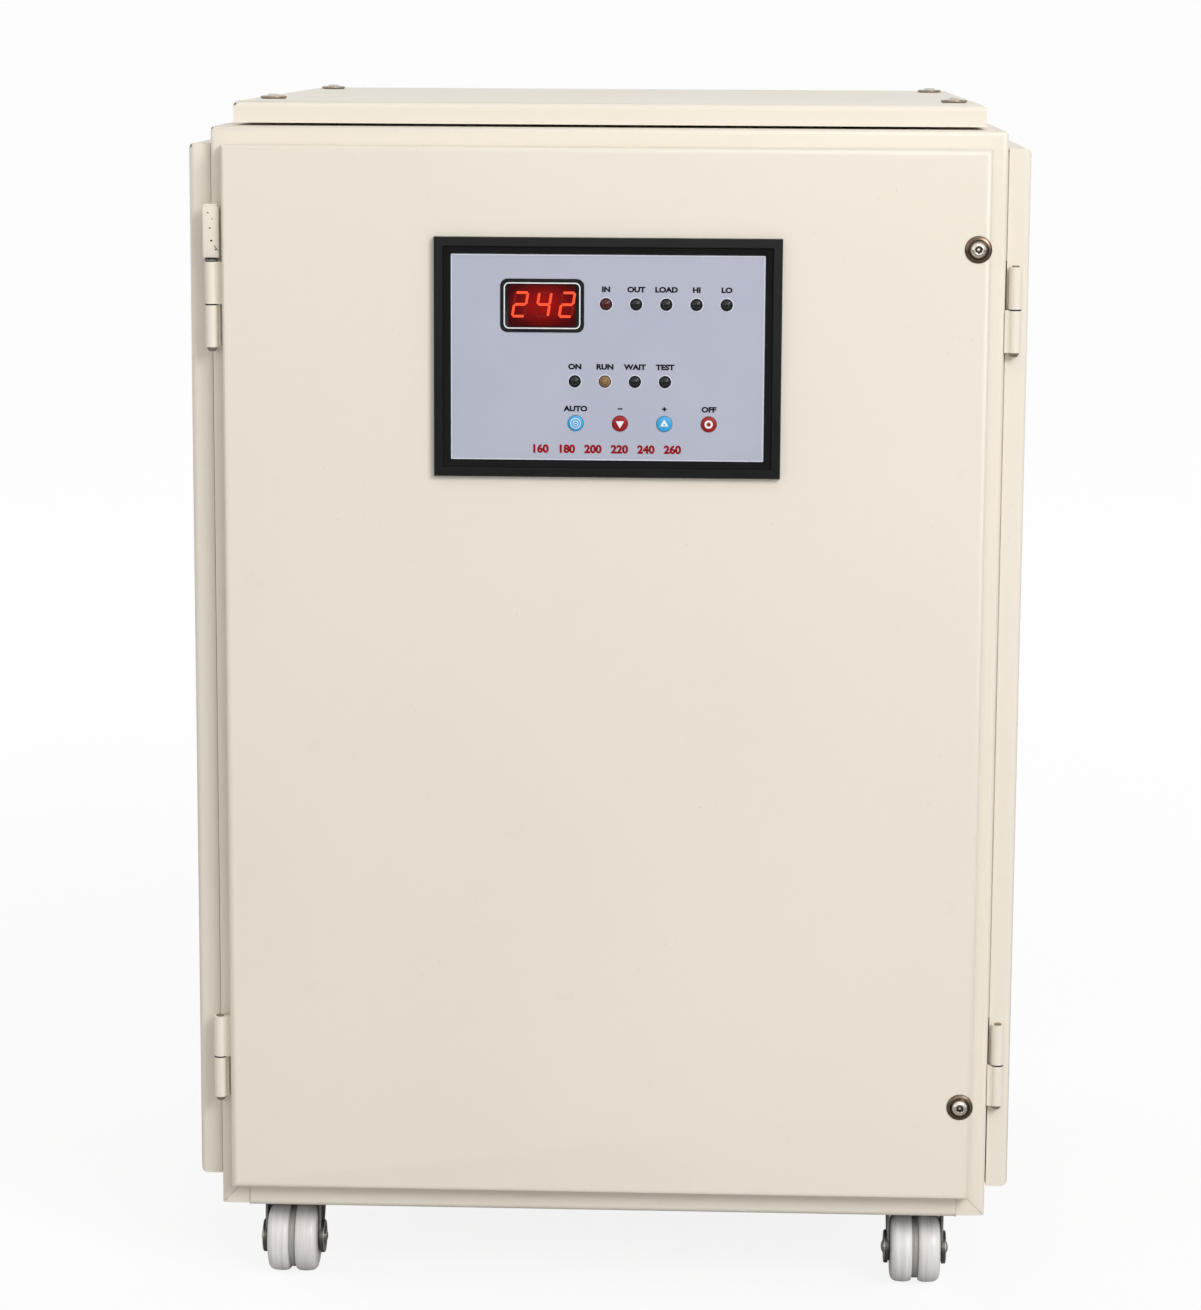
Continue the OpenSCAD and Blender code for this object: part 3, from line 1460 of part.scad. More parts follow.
// Twin wheel on its axle
module caster_wheel() {
    translate([0, -trail, axle_z]) rotate([0, 90, 0]) rotate_extrude() {
        for (side = [-1, 1])
            translate([axle_r + running_fit, side * (tread_w + groove_w) / 2]) {
                run = axle_z - axle_r - running_fit;
                translate([run, 0]) rotate(90) channel_section(tread_w, run, shoulder_r);
            }
        translate([axle_r + running_fit, -groove_w])
            square([groove_core_r - axle_r - running_fit, 2 * groove_w]);
    }
}

module caster_fork_front_left() color(dark_metal) at_caster(0, 0) caster_fork();
module caster_fork_front_right() color(dark_metal) at_caster(1, 0) caster_fork();
module caster_fork_rear_left() color(dark_metal) at_caster(0, 1) caster_fork();
module caster_fork_rear_right() color(dark_metal) at_caster(1, 1) caster_fork();
module caster_wheel_front_left() color(white_nylon) at_caster(0, 0) caster_wheel();
module caster_wheel_front_right() color(white_nylon) at_caster(1, 0) caster_wheel();
module caster_wheel_rear_left() color(white_nylon) at_caster(0, 1) caster_wheel();
module caster_wheel_rear_right() color(white_nylon) at_caster(1, 1) caster_wheel();

corner_posts();
top_ring();
base_tray();
hinge_knuckles();
hinge_pins();
hinge_lift_stop();
back_panel();
back_panel_screws();
top_cover();
cover_screws();
fan_guard();
fan_frame();
fan_impeller();
cable_glands();
mounting_shelf();
mounting_plate();
transformer_core();
transformer_coil();
transformer_clamps();
variac_base();
variac_coil();
brush_arm();
carbon_brush();
drive_gear();
servo_motor();
motor_pinion();
limit_switches();
control_board();
board_parts();
contactor();
contactor_slide();
breaker();
breaker_toggle();
terminal_block();
front_door();
door_fastener_upper();
door_fastener_lower();
panel_bezel();
face_plate();
display_module();
led_lenses();
display_board();
button_mode();
button_down();
button_up();
button_stop();
right_door();
left_door();
right_latch();
left_latch();
caster_plates();
caster_bolts();
caster_fork_front_left();
caster_fork_front_right();
caster_fork_rear_left();
caster_fork_rear_right();
caster_wheel_front_left();
caster_wheel_front_right();
caster_wheel_rear_left();
caster_wheel_rear_right();
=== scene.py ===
import json
import math
import random

import bmesh
import bpy
from mathutils import Matrix, Vector


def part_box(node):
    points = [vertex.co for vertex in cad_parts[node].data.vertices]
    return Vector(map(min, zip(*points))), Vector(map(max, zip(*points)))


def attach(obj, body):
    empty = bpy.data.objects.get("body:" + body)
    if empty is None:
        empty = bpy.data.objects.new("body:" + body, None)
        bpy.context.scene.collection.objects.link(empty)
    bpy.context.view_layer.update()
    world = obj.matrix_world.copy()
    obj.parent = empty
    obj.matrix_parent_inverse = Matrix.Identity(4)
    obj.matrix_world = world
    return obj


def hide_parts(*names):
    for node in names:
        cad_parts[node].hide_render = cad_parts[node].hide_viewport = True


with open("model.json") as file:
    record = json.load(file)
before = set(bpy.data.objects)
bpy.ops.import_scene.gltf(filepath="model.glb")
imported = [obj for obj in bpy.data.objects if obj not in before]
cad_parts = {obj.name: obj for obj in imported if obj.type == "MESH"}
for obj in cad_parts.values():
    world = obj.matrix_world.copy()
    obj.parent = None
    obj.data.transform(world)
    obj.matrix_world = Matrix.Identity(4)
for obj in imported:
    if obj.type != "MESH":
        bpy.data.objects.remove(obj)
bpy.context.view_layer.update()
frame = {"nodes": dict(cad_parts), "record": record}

MM = 0.001
NODES = frame["nodes"]
BODY_OF = {node: body for body, nodes in frame["record"]["behaviour"]["bodies"].items() for node in nodes}


def mm(*sizes):
    """Sizes in millimetres, as metres."""
    return tuple(size * MM for size in sizes)


def about(axis, degrees):
    """A turn about an axis."""
    return Matrix.Rotation(math.radians(degrees), 3, axis)


def box_of(node):
    """A frame node's lowest corner, highest corner and middle."""
    low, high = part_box(node)
    return low, high, (low + high) / 2


def middle(node):
    return box_of(node)[2]


FACING_FRONT = about("X", 90)
FACING_BACK = about("X", -90)
ALONG_X = about("Y", 90)


# Material helpers

COAT_ROUGH = 0.12
WHITE = (1.0, 1.0, 1.0, 1.0)


def tone(red, green, blue):
    """A colour given as it looks on screen, from 0 to 255, in linear light."""
    def linear(value):
        value /= 255
        return value / 12.92 if value <= 0.04045 else ((value + 0.055) / 1.055) ** 2.4
    return (linear(red), linear(green), linear(blue), 1.0)


def feed(tree, socket, value):
    """Gives a socket a value, or links another node's output to it."""
    if isinstance(value, bpy.types.NodeSocket):
        tree.links.new(value, socket)
    else:
        socket.default_value = value


def add_node(tree, kind, inputs=None, **options):
    """Adds a node, sets its options and feeds its inputs."""
    made = tree.nodes.new(kind)
    for key, value in options.items():
        setattr(made, key, value)
    for socket, value in (inputs or {}).items():
        feed(tree, made.inputs[socket], value)
    return made


class Finish:
    """A node material under construction, with short ways to add the usual textures."""

    def __init__(self, name, color=(0.5, 0.5, 0.5, 1), rough=0.5, metal=0.0, spec=None, coat=0.0):
        self.material = bpy.data.materials.new(name)
        self.material.use_nodes = True
        self.tree = self.material.node_tree
        self.shader = self.tree.nodes["Principled BSDF"]
        self.color(color)
        self.rough(rough)
        self.set("Metallic", metal)
        if spec is not None:
            self.set("Specular IOR Level", spec)
        if coat:
            self.set("Coat Weight", coat)
            self.set("Coat Roughness", COAT_ROUGH)
        self.place = self.node("ShaderNodeTexCoord").outputs["Object"]
        self.normal = None

    def node(self, kind, inputs=None, **options):
        return add_node(self.tree, kind, inputs, **options)

    def set(self, socket, value):
        feed(self.tree, self.shader.inputs[socket], value)

    def color(self, value):
        self.set("Base Color", value)

    def rough(self, value):
        self.set("Roughness", value)

    def mapped(self, **inputs):
        """The object's coordinates moved, turned or stretched."""
        return self.node("ShaderNodeMapping", {"Vector": self.place, **inputs}).outputs["Vector"]

    def noise(self, scale, detail=3.0, rough=0.55, stretch=None):
        place = self.mapped(Scale=stretch) if stretch else self.place
        inputs = {"Scale": scale, "Detail": detail, "Roughness": rough, "Vector": place}
        return self.node("ShaderNodeTexNoise", inputs).outputs["Fac"]

    def wave(self, scale, axis="Z", distort=0.0, detail=2.0):
        inputs = {"Scale": scale, "Distortion": distort, "Detail": detail, "Vector": self.place}
        return self.node("ShaderNodeTexWave", inputs, wave_type="BANDS", bands_direction=axis).outputs["Fac"]

    def spread(self, fac, low, high, to_low=0.0, to_high=1.0):
        inputs = {"From Min": low, "From Max": high, "To Min": to_low, "To Max": to_high, "Value": fac}
        return self.node("ShaderNodeMapRange", inputs).outputs["Result"]

    def cloud(self, scale, detail, low, high, to_low=0.0, to_high=1.0, rough=0.55):
        """Noise with its range from low to high spread out."""
        return self.spread(self.noise(scale, detail, rough), low, high, to_low, to_high)

    def times(self, a, b):
        return self.node("ShaderNodeMath", {0: a, 1: b}, operation="MULTIPLY").outputs["Value"]

    def most(self, a, b):
        return self.node("ShaderNodeMath", {0: a, 1: b}, operation="MAXIMUM").outputs["Value"]

    def mix(self, fac, first, second):
        return self.node("ShaderNodeMix", {"Factor": fac, 6: first, 7: second}, data_type="RGBA").outputs[2]

    def tint(self, fac, first, second):
        self.color(self.mix(fac, first, second))

    def near(self, point, radius):
        """1 at a point of the object and 0 beyond the radius."""
        apart = self.node("ShaderNodeVectorMath", {0: self.place, 1: point}, operation="DISTANCE")
        return self.spread(apart.outputs["Value"], 0.0, radius, 1.0, 0.0)

    def far(self, place):
        """A place's distance from the origin."""
        return self.node("ShaderNodeVectorMath", {0: place}, operation="LENGTH").outputs["Value"]

    def bump(self, fac, strength, distance):
        inputs = {"Strength": strength, "Distance": distance, "Height": fac}
        if self.normal:
            inputs["Normal"] = self.normal
        self.normal = self.node("ShaderNodeBump", inputs).outputs["Normal"]
        self.set("Normal", self.normal)


def powder_coat(name, chips=()):
    """Cream powder coat with orange peel, faint handling marks and bare spots at the given corners."""
    f = Finish(name, rough=0.46, spec=0.28)
    cream = f.mix(f.cloud(2.4, 2.0, 0.3, 0.7), tone(236, 228, 213), tone(240, 232, 218))
    smudge = f.cloud(34.0, 6.0, 0.62, 0.86, rough=0.7)
    cream = f.mix(f.times(smudge, 0.22), cream, tone(205, 194, 172))
    speck = f.times(f.cloud(620.0, 2.0, 0.70, 0.78), f.cloud(16.0, 2.0, 0.52, 0.66))
    cream = f.mix(f.times(speck, 0.35), cream, tone(150, 138, 116))
    worn = None
    for point, radius in chips:
        spot = f.near(point, radius)
        worn = f.most(worn, spot) if worn else spot
    if worn:
        edge = f.spread(f.times(worn, f.cloud(900.0, 3.0, 0.2, 0.75, 0.4, 1.3)), 0.42, 0.55)
        cream = f.mix(edge, cream, tone(98, 78, 60))
    f.color(cream)
    f.rough(f.cloud(9.0, 4.0, 0.3, 0.7, 0.38, 0.5))
    f.bump(f.noise(7.0, 1.0), 0.10, 0.004)
    f.bump(f.noise(850.0, 2.0, 0.5), 0.05, 0.0004)
    return f.material


def mottled(name, color, rough, patches, first, second, gloss=None, grain=None, **qualities):
    """A finish mottled between two colours, with uneven gloss and a fine grain."""
    f = Finish(name, color, rough, **qualities)
    f.tint(f.cloud(*patches), first, second)
    if gloss:
        f.rough(f.cloud(*gloss))
    if grain:
        scale, detail, strength, distance = grain
        f.bump(f.noise(scale, detail), strength, distance)
    return f.material


def plated(name, color, rough, wear=0.25):
    """Plated or polished metal, dulled in patches."""
    return mottled(name, color, rough, (260.0, 4.0, 0.45, 0.75, 0.0, wear, 0.65), color, tone(92, 78, 64),
                   (420.0, 4.0, 0.25, 0.75, max(rough - 0.06, 0.03), rough + 0.14),
                   (1500.0, 2.0, 0.05, 0.0002), metal=1.0)


def moulded(name, color, rough=0.42, grain=0.10, vary=0.12, coat=0.0, spec=0.5):
    """Moulded plastic with a fine spark-eroded grain."""
    darker = tuple(c * (1 - vary) for c in color[:3]) + (1.0,)
    return mottled(name, color, rough, (22.0, 4.0, 0.35, 0.65), darker, color,
                   (70.0, 4.0, 0.3, 0.7, rough - 0.05, rough + 0.08), (1900.0, 1.0, grain, 0.0003),
                   spec=spec, coat=coat)


def printed(name, color, rough=0.5, spec=0.3):
    """Flat ink or paint that is a little faded in specks."""
    faded = tuple(min(c * 1.25 + 0.01, 1.0) for c in color[:3]) + (1.0,)
    return mottled(name, color, rough, (1400.0, 2.0, 0.55, 0.8), color, faded, spec=spec)


def glowing(name, color, glow, strength):
    """A lit plastic surface."""
    f = Finish(name, color, 0.35, spec=0.08)
    f.set("Emission Color", glow)
    f.set("Emission Strength", strength)
    f.bump(f.noise(900.0, 1.0), 0.04, 0.0002)
    return f.material


def taped_coil(name):
    """Coil wrapped in overlapping turns of amber tape."""
    f = Finish(name, tone(206, 176, 92), 0.32, spec=0.5, coat=0.3)
    turns = f.wave(22.0, "Z", 0.4)
    f.tint(f.spread(turns, 0.1, 0.35), tone(150, 118, 48), tone(212, 184, 100))
    f.bump(turns, 0.35, 0.0006)
    f.bump(f.noise(260.0, 3.0), 0.08, 0.0004)
    return f.material


def stacked_steel(name):
    """Varnished edge of a stack of thin steel sheets."""
    f = Finish(name, tone(92, 96, 102), 0.42, metal=0.8)
    sheets = f.wave(310.0, "Y", 0.6, 1.0)
    varnish = f.mix(f.cloud(30.0, 4.0, 0.35, 0.7), tone(74, 78, 86), tone(110, 106, 100))
    f.tint(f.times(sheets, 0.5), varnish, tone(44, 44, 46))
    f.bump(sheets, 0.4, 0.0002)
    return f.material


def circuit_board(name, turn=0.0):
    """Green solder mask over copper tracks that change direction from patch to patch, with tinned pads."""
    f = Finish(name, tone(24, 92, 52), 0.3, spec=0.5, coat=0.3)
    f.place = f.mapped(Rotation=(turn, 0, 0))
    patches = f.node("ShaderNodeTexVoronoi", {"Scale": 62.0, "Vector": f.place}, distance="CHEBYCHEV",
                     voronoi_dimensions="2D")
    patch = f.node("ShaderNodeSeparateColor", {"Color": patches.outputs["Color"]}).outputs
    along, across = [f.spread(f.wave(110.0, axis), 0.70, 0.80) for axis in "XY"]
    tracks = f.mix(f.spread(patch["Red"], 0.49, 0.51), along, across)
    tracks = f.times(tracks, f.spread(patch["Green"], 0.30, 0.31))
    pads = f.node("ShaderNodeTexVoronoi", {"Scale": 390.0, "Randomness": 0.0, "Vector": f.place},
                  voronoi_dimensions="2D")
    dots = f.times(f.spread(pads.outputs["Distance"], 0.24, 0.30, 1.0, 0.0),
                   f.spread(patch["Blue"], 0.74, 0.75))
    mask = f.mix(f.times(tracks, 0.5), tone(18, 78, 44), tone(84, 152, 88))
    f.tint(dots, mask, tone(200, 196, 180))
    f.bump(f.most(tracks, dots), 0.2, 0.0001)
    return f.material


GLOW_REACH = mm(19, 19, 11.5)


def display_window(name, centre):
    """Dark red window, lit from behind round the digits and darker towards its rim."""
    f = Finish(name, tone(38, 3, 4), 0.18, spec=0.08)
    scale = tuple(1 / reach for reach in GLOW_REACH)
    oval = f.mapped(Location=tuple(-c * s for c, s in zip(centre, scale)), Scale=scale)
    halo = f.spread(f.far(oval), 0.25, 1.1, 1.0, 0.0)
    mottle = f.cloud(420.0, 2.0, 0.3, 0.7, 0.75, 1.0)
    f.set("Emission Color", f.mix(f.times(halo, mottle), tone(62, 3, 4), tone(176, 14, 10)))
    f.set("Emission Strength", 0.75)
    return f.material


def turned_nylon(name):
    """White nylon with faint light and dark rings round the wheel: mould marks, and painted shade across the
    tread.
    """
    f = Finish(name, tone(240, 236, 236), 0.3, spec=0.4)
    # Light and dark rings round the wheel, partly painted shade across the tread.
    rings = f.noise(1.0, 3.0, 0.6, stretch=(400.0, 14.0, 14.0))
    f.tint(f.spread(rings, 0.32, 0.66), tone(226, 218, 215), tone(246, 243, 244))
    f.rough(f.spread(rings, 0.3, 0.7, 0.24, 0.4))
    f.bump(rings, 0.08, 0.0003)
    return f.material


# Mesh helpers

EASE_SEGMENTS = 2
EASE_ANGLE = 38
WELD_REACH = 2e-6
TINY = 1e-7
FLAT_ANGLE = 0.4
CAP_SHARE = 0.72
INK = 0.06 * MM


def joined(parts):
    """One bmesh from several."""
    whole = bmesh.new()
    holder = bpy.data.meshes.new("holder")
    for bm in parts:
        bm.to_mesh(holder)
        bm.free()
        whole.from_mesh(holder)
    bpy.data.meshes.remove(holder)
    return whole


def new_piece(name, shape, materials, body=None, smooth=35, ease=0.0, stands_for=None):
    """Makes a finished piece from a bmesh or a list of them: shading, an optional eased edge, its
    finish and body. One that stands for a frame node takes the node's body where none is given."""
    if isinstance(shape, list):
        shape = joined(shape)
    mesh = bpy.data.meshes.new(name)
    shape.to_mesh(mesh)
    shape.free()
    for material in materials if isinstance(materials, list) else [materials]:
        mesh.materials.append(material)
    if smooth:
        mesh.polygons.foreach_set("use_smooth", [True] * len(mesh.polygons))
        mesh.set_sharp_from_angle(angle=math.radians(smooth))
    piece = bpy.data.objects.new(name, mesh)
    bpy.context.scene.collection.objects.link(piece)
    if ease:
        eased = piece.modifiers.new("eased edges", "BEVEL")
        eased.width = ease
        eased.segments = EASE_SEGMENTS
        eased.limit_method = "ANGLE"
        eased.angle_limit = math.radians(EASE_ANGLE)
        eased.use_clamp_overlap = True
        eased.miter_outer = "MITER_SHARP"
    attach(piece, body or BODY_OF[stands_for])
    if stands_for:
        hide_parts(stands_for)
    return piece


def finished_node(node, material, ease=0.0, smooth=32):
    """A smooth-shaded copy of a frame node that stands for it, with its edges eased by millimetres."""
    bm = bmesh.new()
    bm.from_mesh(NODES[node].data)
    bmesh.ops.remove_doubles(bm, verts=bm.verts, dist=WELD_REACH)
    bmesh.ops.dissolve_degenerate(bm, edges=bm.edges, dist=TINY)
    bmesh.ops.dissolve_limit(bm, angle_limit=math.radians(FLAT_ANGLE), verts=bm.verts, edges=bm.edges)
    return new_piece(node + "_finished", bm, material, smooth=smooth, ease=ease * MM, stands_for=node)


def finish_nodes(*rows):
    """Finishes frame nodes from rows of name, finish, eased edge in millimetres and smoothing angle."""
    for row in rows:
        finished_node(*row)


def moved(bm, to=(0, 0, 0), turn=None):
    """Turns a bmesh about the origin, then moves it."""
    if turn is not None:
        bmesh.ops.rotate(bm, cent=(0, 0, 0), matrix=turn, verts=bm.verts)
    bmesh.ops.translate(bm, vec=to, verts=bm.verts)
    return bm


def ease_edges(bm, width, segments):
    bmesh.ops.bevel(bm, geom=bm.edges, offset=width, segments=segments, profile=0.5, affect="EDGES",
                    material=-1)


def round_corners(bm, radius, segments):
    bmesh.ops.bevel(bm, geom=bm.verts, offset=radius, offset_type="OFFSET", segments=segments, profile=0.5,
                    affect="VERTICES", material=-1)


def turned(profile, steps=48):
    """A bmesh of a profile of (radius, height) points spun about Z."""
    bm = bmesh.new()
    verts = [bm.verts.new((r, 0, h)) for r, h in profile]
    edges = [bm.edges.new(pair) for pair in zip(verts, verts[1:])]
    bmesh.ops.spin(bm, geom=verts + edges, cent=(0, 0, 0), axis=(0, 0, 1), angle=2 * math.pi,
                   steps=steps, use_merge=True)
    bmesh.ops.remove_doubles(bm, verts=bm.verts, dist=TINY)
    bmesh.ops.recalc_face_normals(bm, faces=bm.faces)
    return bm


def lathe(profile, steps=48):
    """A bmesh turned from a profile in millimetres."""
    return turned([mm(*point) for point in profile], steps)


def collar(inner, outer, height, steps=48):
    """A bmesh of a square-edged ring that stands on the origin."""
    return turned([(inner, 0), (outer, 0), (outer, height), (inner, height), (inner, 0)], steps)


def flat_ring(outer, inner, thickness):
    return moved(collar(inner, outer, thickness), turn=FACING_BACK)


def block(size, centre=(0, 0, 0), ease=0.0, segments=2):
    """A bmesh box with eased edges."""
    bm = bmesh.new()
    bmesh.ops.create_cube(bm, size=1)
    bmesh.ops.scale(bm, vec=size, verts=bm.verts)
    if ease:
        ease_edges(bm, ease, segments)
    return moved(bm, centre)


def hexagon(radius, depth, ease, segments):
    """An eased hexagon head or nut, centred on the origin along Z."""
    bm = bmesh.new()
    bmesh.ops.create_cone(bm, cap_ends=True, segments=6, radius1=radius, radius2=radius, depth=depth)
    ease_edges(bm, ease, segments)
    return bm


def bead(at, radius, squash=(1, 1, 1)):
    """A small weld or paint blob."""
    bm = bmesh.new()
    bmesh.ops.create_icosphere(bm, subdivisions=2, radius=radius)
    bmesh.ops.scale(bm, vec=squash, verts=bm.verts)
    return moved(bm, at)


def thicken(bm, thickness):
    """Gives the faces of a front-facing bmesh a body behind them."""
    grown = bmesh.ops.extrude_face_region(bm, geom=bm.faces[:])["geom"]
    back = [v for v in grown if isinstance(v, bmesh.types.BMVert)]
    bmesh.ops.translate(bm, vec=(0, thickness, 0), verts=back)
    bmesh.ops.recalc_face_normals(bm, faces=bm.faces)
    return bm


def polygon(radius, sides):
    """A bmesh of one many-sided face that faces up."""
    bm = bmesh.new()
    bmesh.ops.create_circle(bm, cap_ends=True, radius=radius, segments=sides)
    return bm


def flat_disc(radius, thickness, sides=48):
    return thicken(moved(polygon(radius, sides), turn=FACING_FRONT), thickness)


def rounded_sheet(width, height, corner, segments=8):
    """A bmesh of one rounded face in the XZ plane, facing the front."""
    bm = bmesh.new()
    bmesh.ops.create_grid(bm, x_segments=1, y_segments=1, size=0.5)
    bmesh.ops.scale(bm, vec=(width, height, 1), verts=bm.verts)
    if corner:
        round_corners(bm, corner, segments)
    return moved(bm, turn=FACING_FRONT)


def rounded_plate(width, height, corner, thickness):
    return thicken(rounded_sheet(width, height, corner), thickness)


def inset(bm, faces, inwards, depth=0.0, even=True):
    """Insets a region of faces and gives back the new faces round it."""
    return bmesh.ops.inset_region(bm, faces=faces, thickness=inwards, depth=depth, use_even_offset=even,
                                  use_boundary=True)["faces"]


def rounded_band(width, height, corner, border, thickness, segments=8):
    """A bmesh band of one width that runs round a rounded rectangle."""
    bm = rounded_sheet(width, height, corner, segments)
    ring = inset(bm, bm.faces[:], border)
    bmesh.ops.delete(bm, geom=[face for face in bm.faces if face not in ring], context="FACES")
    return thicken(bm, thickness)


def span_x(bm):
    return max(v.co.x for v in bm.verts) - min(v.co.x for v in bm.verts)


def words(text, height, stretch=1.0, bold=0.0):
    """A bmesh of raised ink letters that face the front, centred on the origin."""
    curve = bpy.data.curves.new("ink", "FONT")
    curve.body = text
    curve.align_x = "CENTER"
    curve.align_y = "CENTER"
    curve.size = height / CAP_SHARE
    curve.extrude = INK / 2
    curve.offset = bold * height
    curve.resolution_u = 4
    holder = bpy.data.objects.new("ink", curve)
    mesh = bpy.data.meshes.new_from_object(holder)
    bm = bmesh.new()
    bm.from_mesh(mesh)
    bpy.data.objects.remove(holder)
    bpy.data.curves.remove(curve)
    bpy.data.meshes.remove(mesh)
    bmesh.ops.scale(bm, vec=(stretch, 1, 1), verts=bm.verts)
    bmesh.ops.remove_doubles(bm, verts=bm.verts, dist=TINY)
    return moved(bm, turn=FACING_FRONT)


SCREW_TOP_SHARES = [(0, 0.45), (0.8, 0.42), (1, 0.25), (1, 0), (0, 0)]
SLOT_HALF_SHARE, SLOT_ABOVE_SHARE, SLOT_DEPTH_SHARE = 0.16, 0.3, 0.2


def screw_top(radius, at, turn=None):
    """Small cheese-head screw with a slot, its head along the turned +Z, in shares of its radius."""
    head = turned([(r * radius, h * radius) for r, h in SCREW_TOP_SHARES], 24)
    for v in head.verts:
        if abs(v.co.y) < SLOT_HALF_SHARE * radius and v.co.z > SLOT_ABOVE_SHARE * radius:
            v.co.z -= SLOT_DEPTH_SHARE * radius
    return moved(head, at, turn)


# Camera, at the photograph's viewing angle

PHOTO_HEIGHT = 1310
FOCAL_PIXELS = 3745.05
SENSOR = 36.0
YAW, PITCH, ROLL = [math.radians(angle) for angle in (-2.2854, 9.6259, 0.3099)]
EYE = Vector((0.07894, -2.25832, 0.71342))

camera_data = bpy.data.cameras.new("camera")
camera = bpy.data.objects.new("camera", camera_data)
bpy.context.scene.collection.objects.link(camera)
bpy.context.scene.camera = camera
camera_data.sensor_fit = "VERTICAL"
camera_data.sensor_height = SENSOR
camera_data.lens = FOCAL_PIXELS / PHOTO_HEIGHT * SENSOR
camera_data.clip_end = 60.0
ahead = Vector((math.sin(YAW) * math.cos(PITCH), math.cos(YAW) * math.cos(PITCH), -math.sin(PITCH)))
level = Vector((math.cos(YAW), -math.sin(YAW), 0.0))
upright = level.cross(ahead)
side = math.cos(ROLL) * level + math.sin(ROLL) * upright
above = -math.sin(ROLL) * level + math.cos(ROLL) * upright
camera.matrix_world = Matrix.Translation(EYE) @ Matrix((side, above, -ahead)).transposed().to_4x4()


# Finishes

cover_low, cover_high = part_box("top_cover")
ring_low, ring_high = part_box("top_ring")
side_low, side_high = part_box("left_door")


def chips_at(left, right, front, top, left_r, right_r):
    """Chipped spots of the given radii at two upper front corners."""
    return [((left, front, top), left_r * MM), ((right, front, top), right_r * MM)]


cream_door = powder_coat("cream powder coat, front door")
cream_frame = powder_coat("cream powder coat, frame",
                          chips_at(ring_low.x, ring_high.x, ring_low.y, ring_high.z, 5, 3.5))
cream_cover = powder_coat("cream powder coat, cover",
                          chips_at(cover_low.x, cover_high.x, cover_low.y, cover_high.z, 5.5, 3))
cream_side = powder_coat("cream powder coat, side doors",
                         chips_at(side_low.x, -side_low.x, side_low.y, side_high.z, 5, 3))
cream_hinge = powder_coat("cream powder coat, hinges")
stain = mottled("bare metal at chips", tone(96, 76, 60), 0.6, (1800.0, 3.0, 0.35, 0.65), tone(70, 54, 42),
                tone(128, 108, 88), metal=0.2)
bright_steel = plated("bright nickel plate", tone(214, 206, 196), 0.11)
brown_steel = plated("browned nickel plate", tone(108, 93, 80), 0.24, 0.5)
# Near-black brown for rings set in the hinge gaps: painted shade of the gaps.
hinge_gap_shade = moulded("painted shade in the hinge gaps", tone(40, 32, 26), 0.6, 0.1, 0.3, spec=0.2)
# Dark steel on the socket walls inside the screw heads: painted shade of the recess.
socket_dark = plated("shaded socket steel", tone(74, 62, 52), 0.3, 0.6)
# Near-black matt plastic: the bezel's inner band and its edge at the plate, darker as painted shade of the
# recess, and the rings of painted gap shade round the lenses.
bezel_shade = moulded("matt black inner bezel and painted gap shade", tone(12, 12, 11), 0.55, 0.05, spec=0.12)
pin_steel = plated("hinge pin steel", tone(160, 150, 136), 0.30, 0.5)
zinc = mottled("zinc plate", tone(178, 180, 182), 0.38, (60.0, 3.0, 0.35, 0.65, 0.0, 1.0, 0.4),
               tone(160, 162, 165), tone(196, 198, 200), (90.0, 3.0, 0.3, 0.7, 0.28, 0.46),
               (900.0, 2.0, 0.05, 0.0002), metal=1.0)
dark_steel = plated("dark pressed steel", tone(98, 96, 92), 0.34, 0.4)
rivet_steel = plated("rivet steel", tone(198, 195, 190), 0.2, 0.2)
aluminium = plated("drawn aluminium", tone(196, 198, 200), 0.32, 0.1)
brass = plated("brass", tone(206, 170, 96), 0.28, 0.2)
bezel_plastic = moulded("black bezel plastic", tone(17, 18, 18), 0.34, 0.05, spec=0.2)
black_plastic = moulded("black moulded plastic", tone(34, 35, 36), 0.42)
fan_plastic = moulded("black fan plastic", tone(28, 29, 30), 0.52, 0.14)
white_plastic = moulded("off-white moulded plastic", tone(214, 212, 204), 0.42)
nylon = turned_nylon("white nylon tread")
# Grey in the narrow groove between the wheel's treads: painted shade of the groove.
groove_painted_shade = moulded("painted shade in the wheel groove", tone(168, 166, 160), 0.6, 0.1, 0.2)
blue_cap = moulded("blue button plastic", tone(48, 166, 222), 0.34, 0.04, 0.06, 0.2)
red_cap = moulded("red button plastic", tone(158, 14, 20), 0.34, 0.04, 0.1, 0.1, spec=0.3)
relay_blue = moulded("blue relay plastic", tone(42, 84, 158), 0.36)
strip_green = moulded("green connector plastic", tone(52, 132, 72), 0.42)
copper = mottled("enamelled copper wire", tone(184, 96, 50), 0.3, (120.0, 4.0, 0.3, 0.7), tone(150, 72, 38),
                 tone(205, 118, 66), (300.0, 2.0, 0.3, 0.7, 0.22, 0.4), metal=0.85, coat=0.5)
tape = taped_coil("amber coil tape")
laminations = stacked_steel("lamination steel")
green_board = circuit_board("green circuit board")
upright_board = circuit_board("green circuit board, upright", math.radians(90))
resistor_beige = moulded("beige resistor lacquer", tone(200, 172, 128), 0.4)
solder = plated("solder", tone(190, 190, 188), 0.26, 0.2)
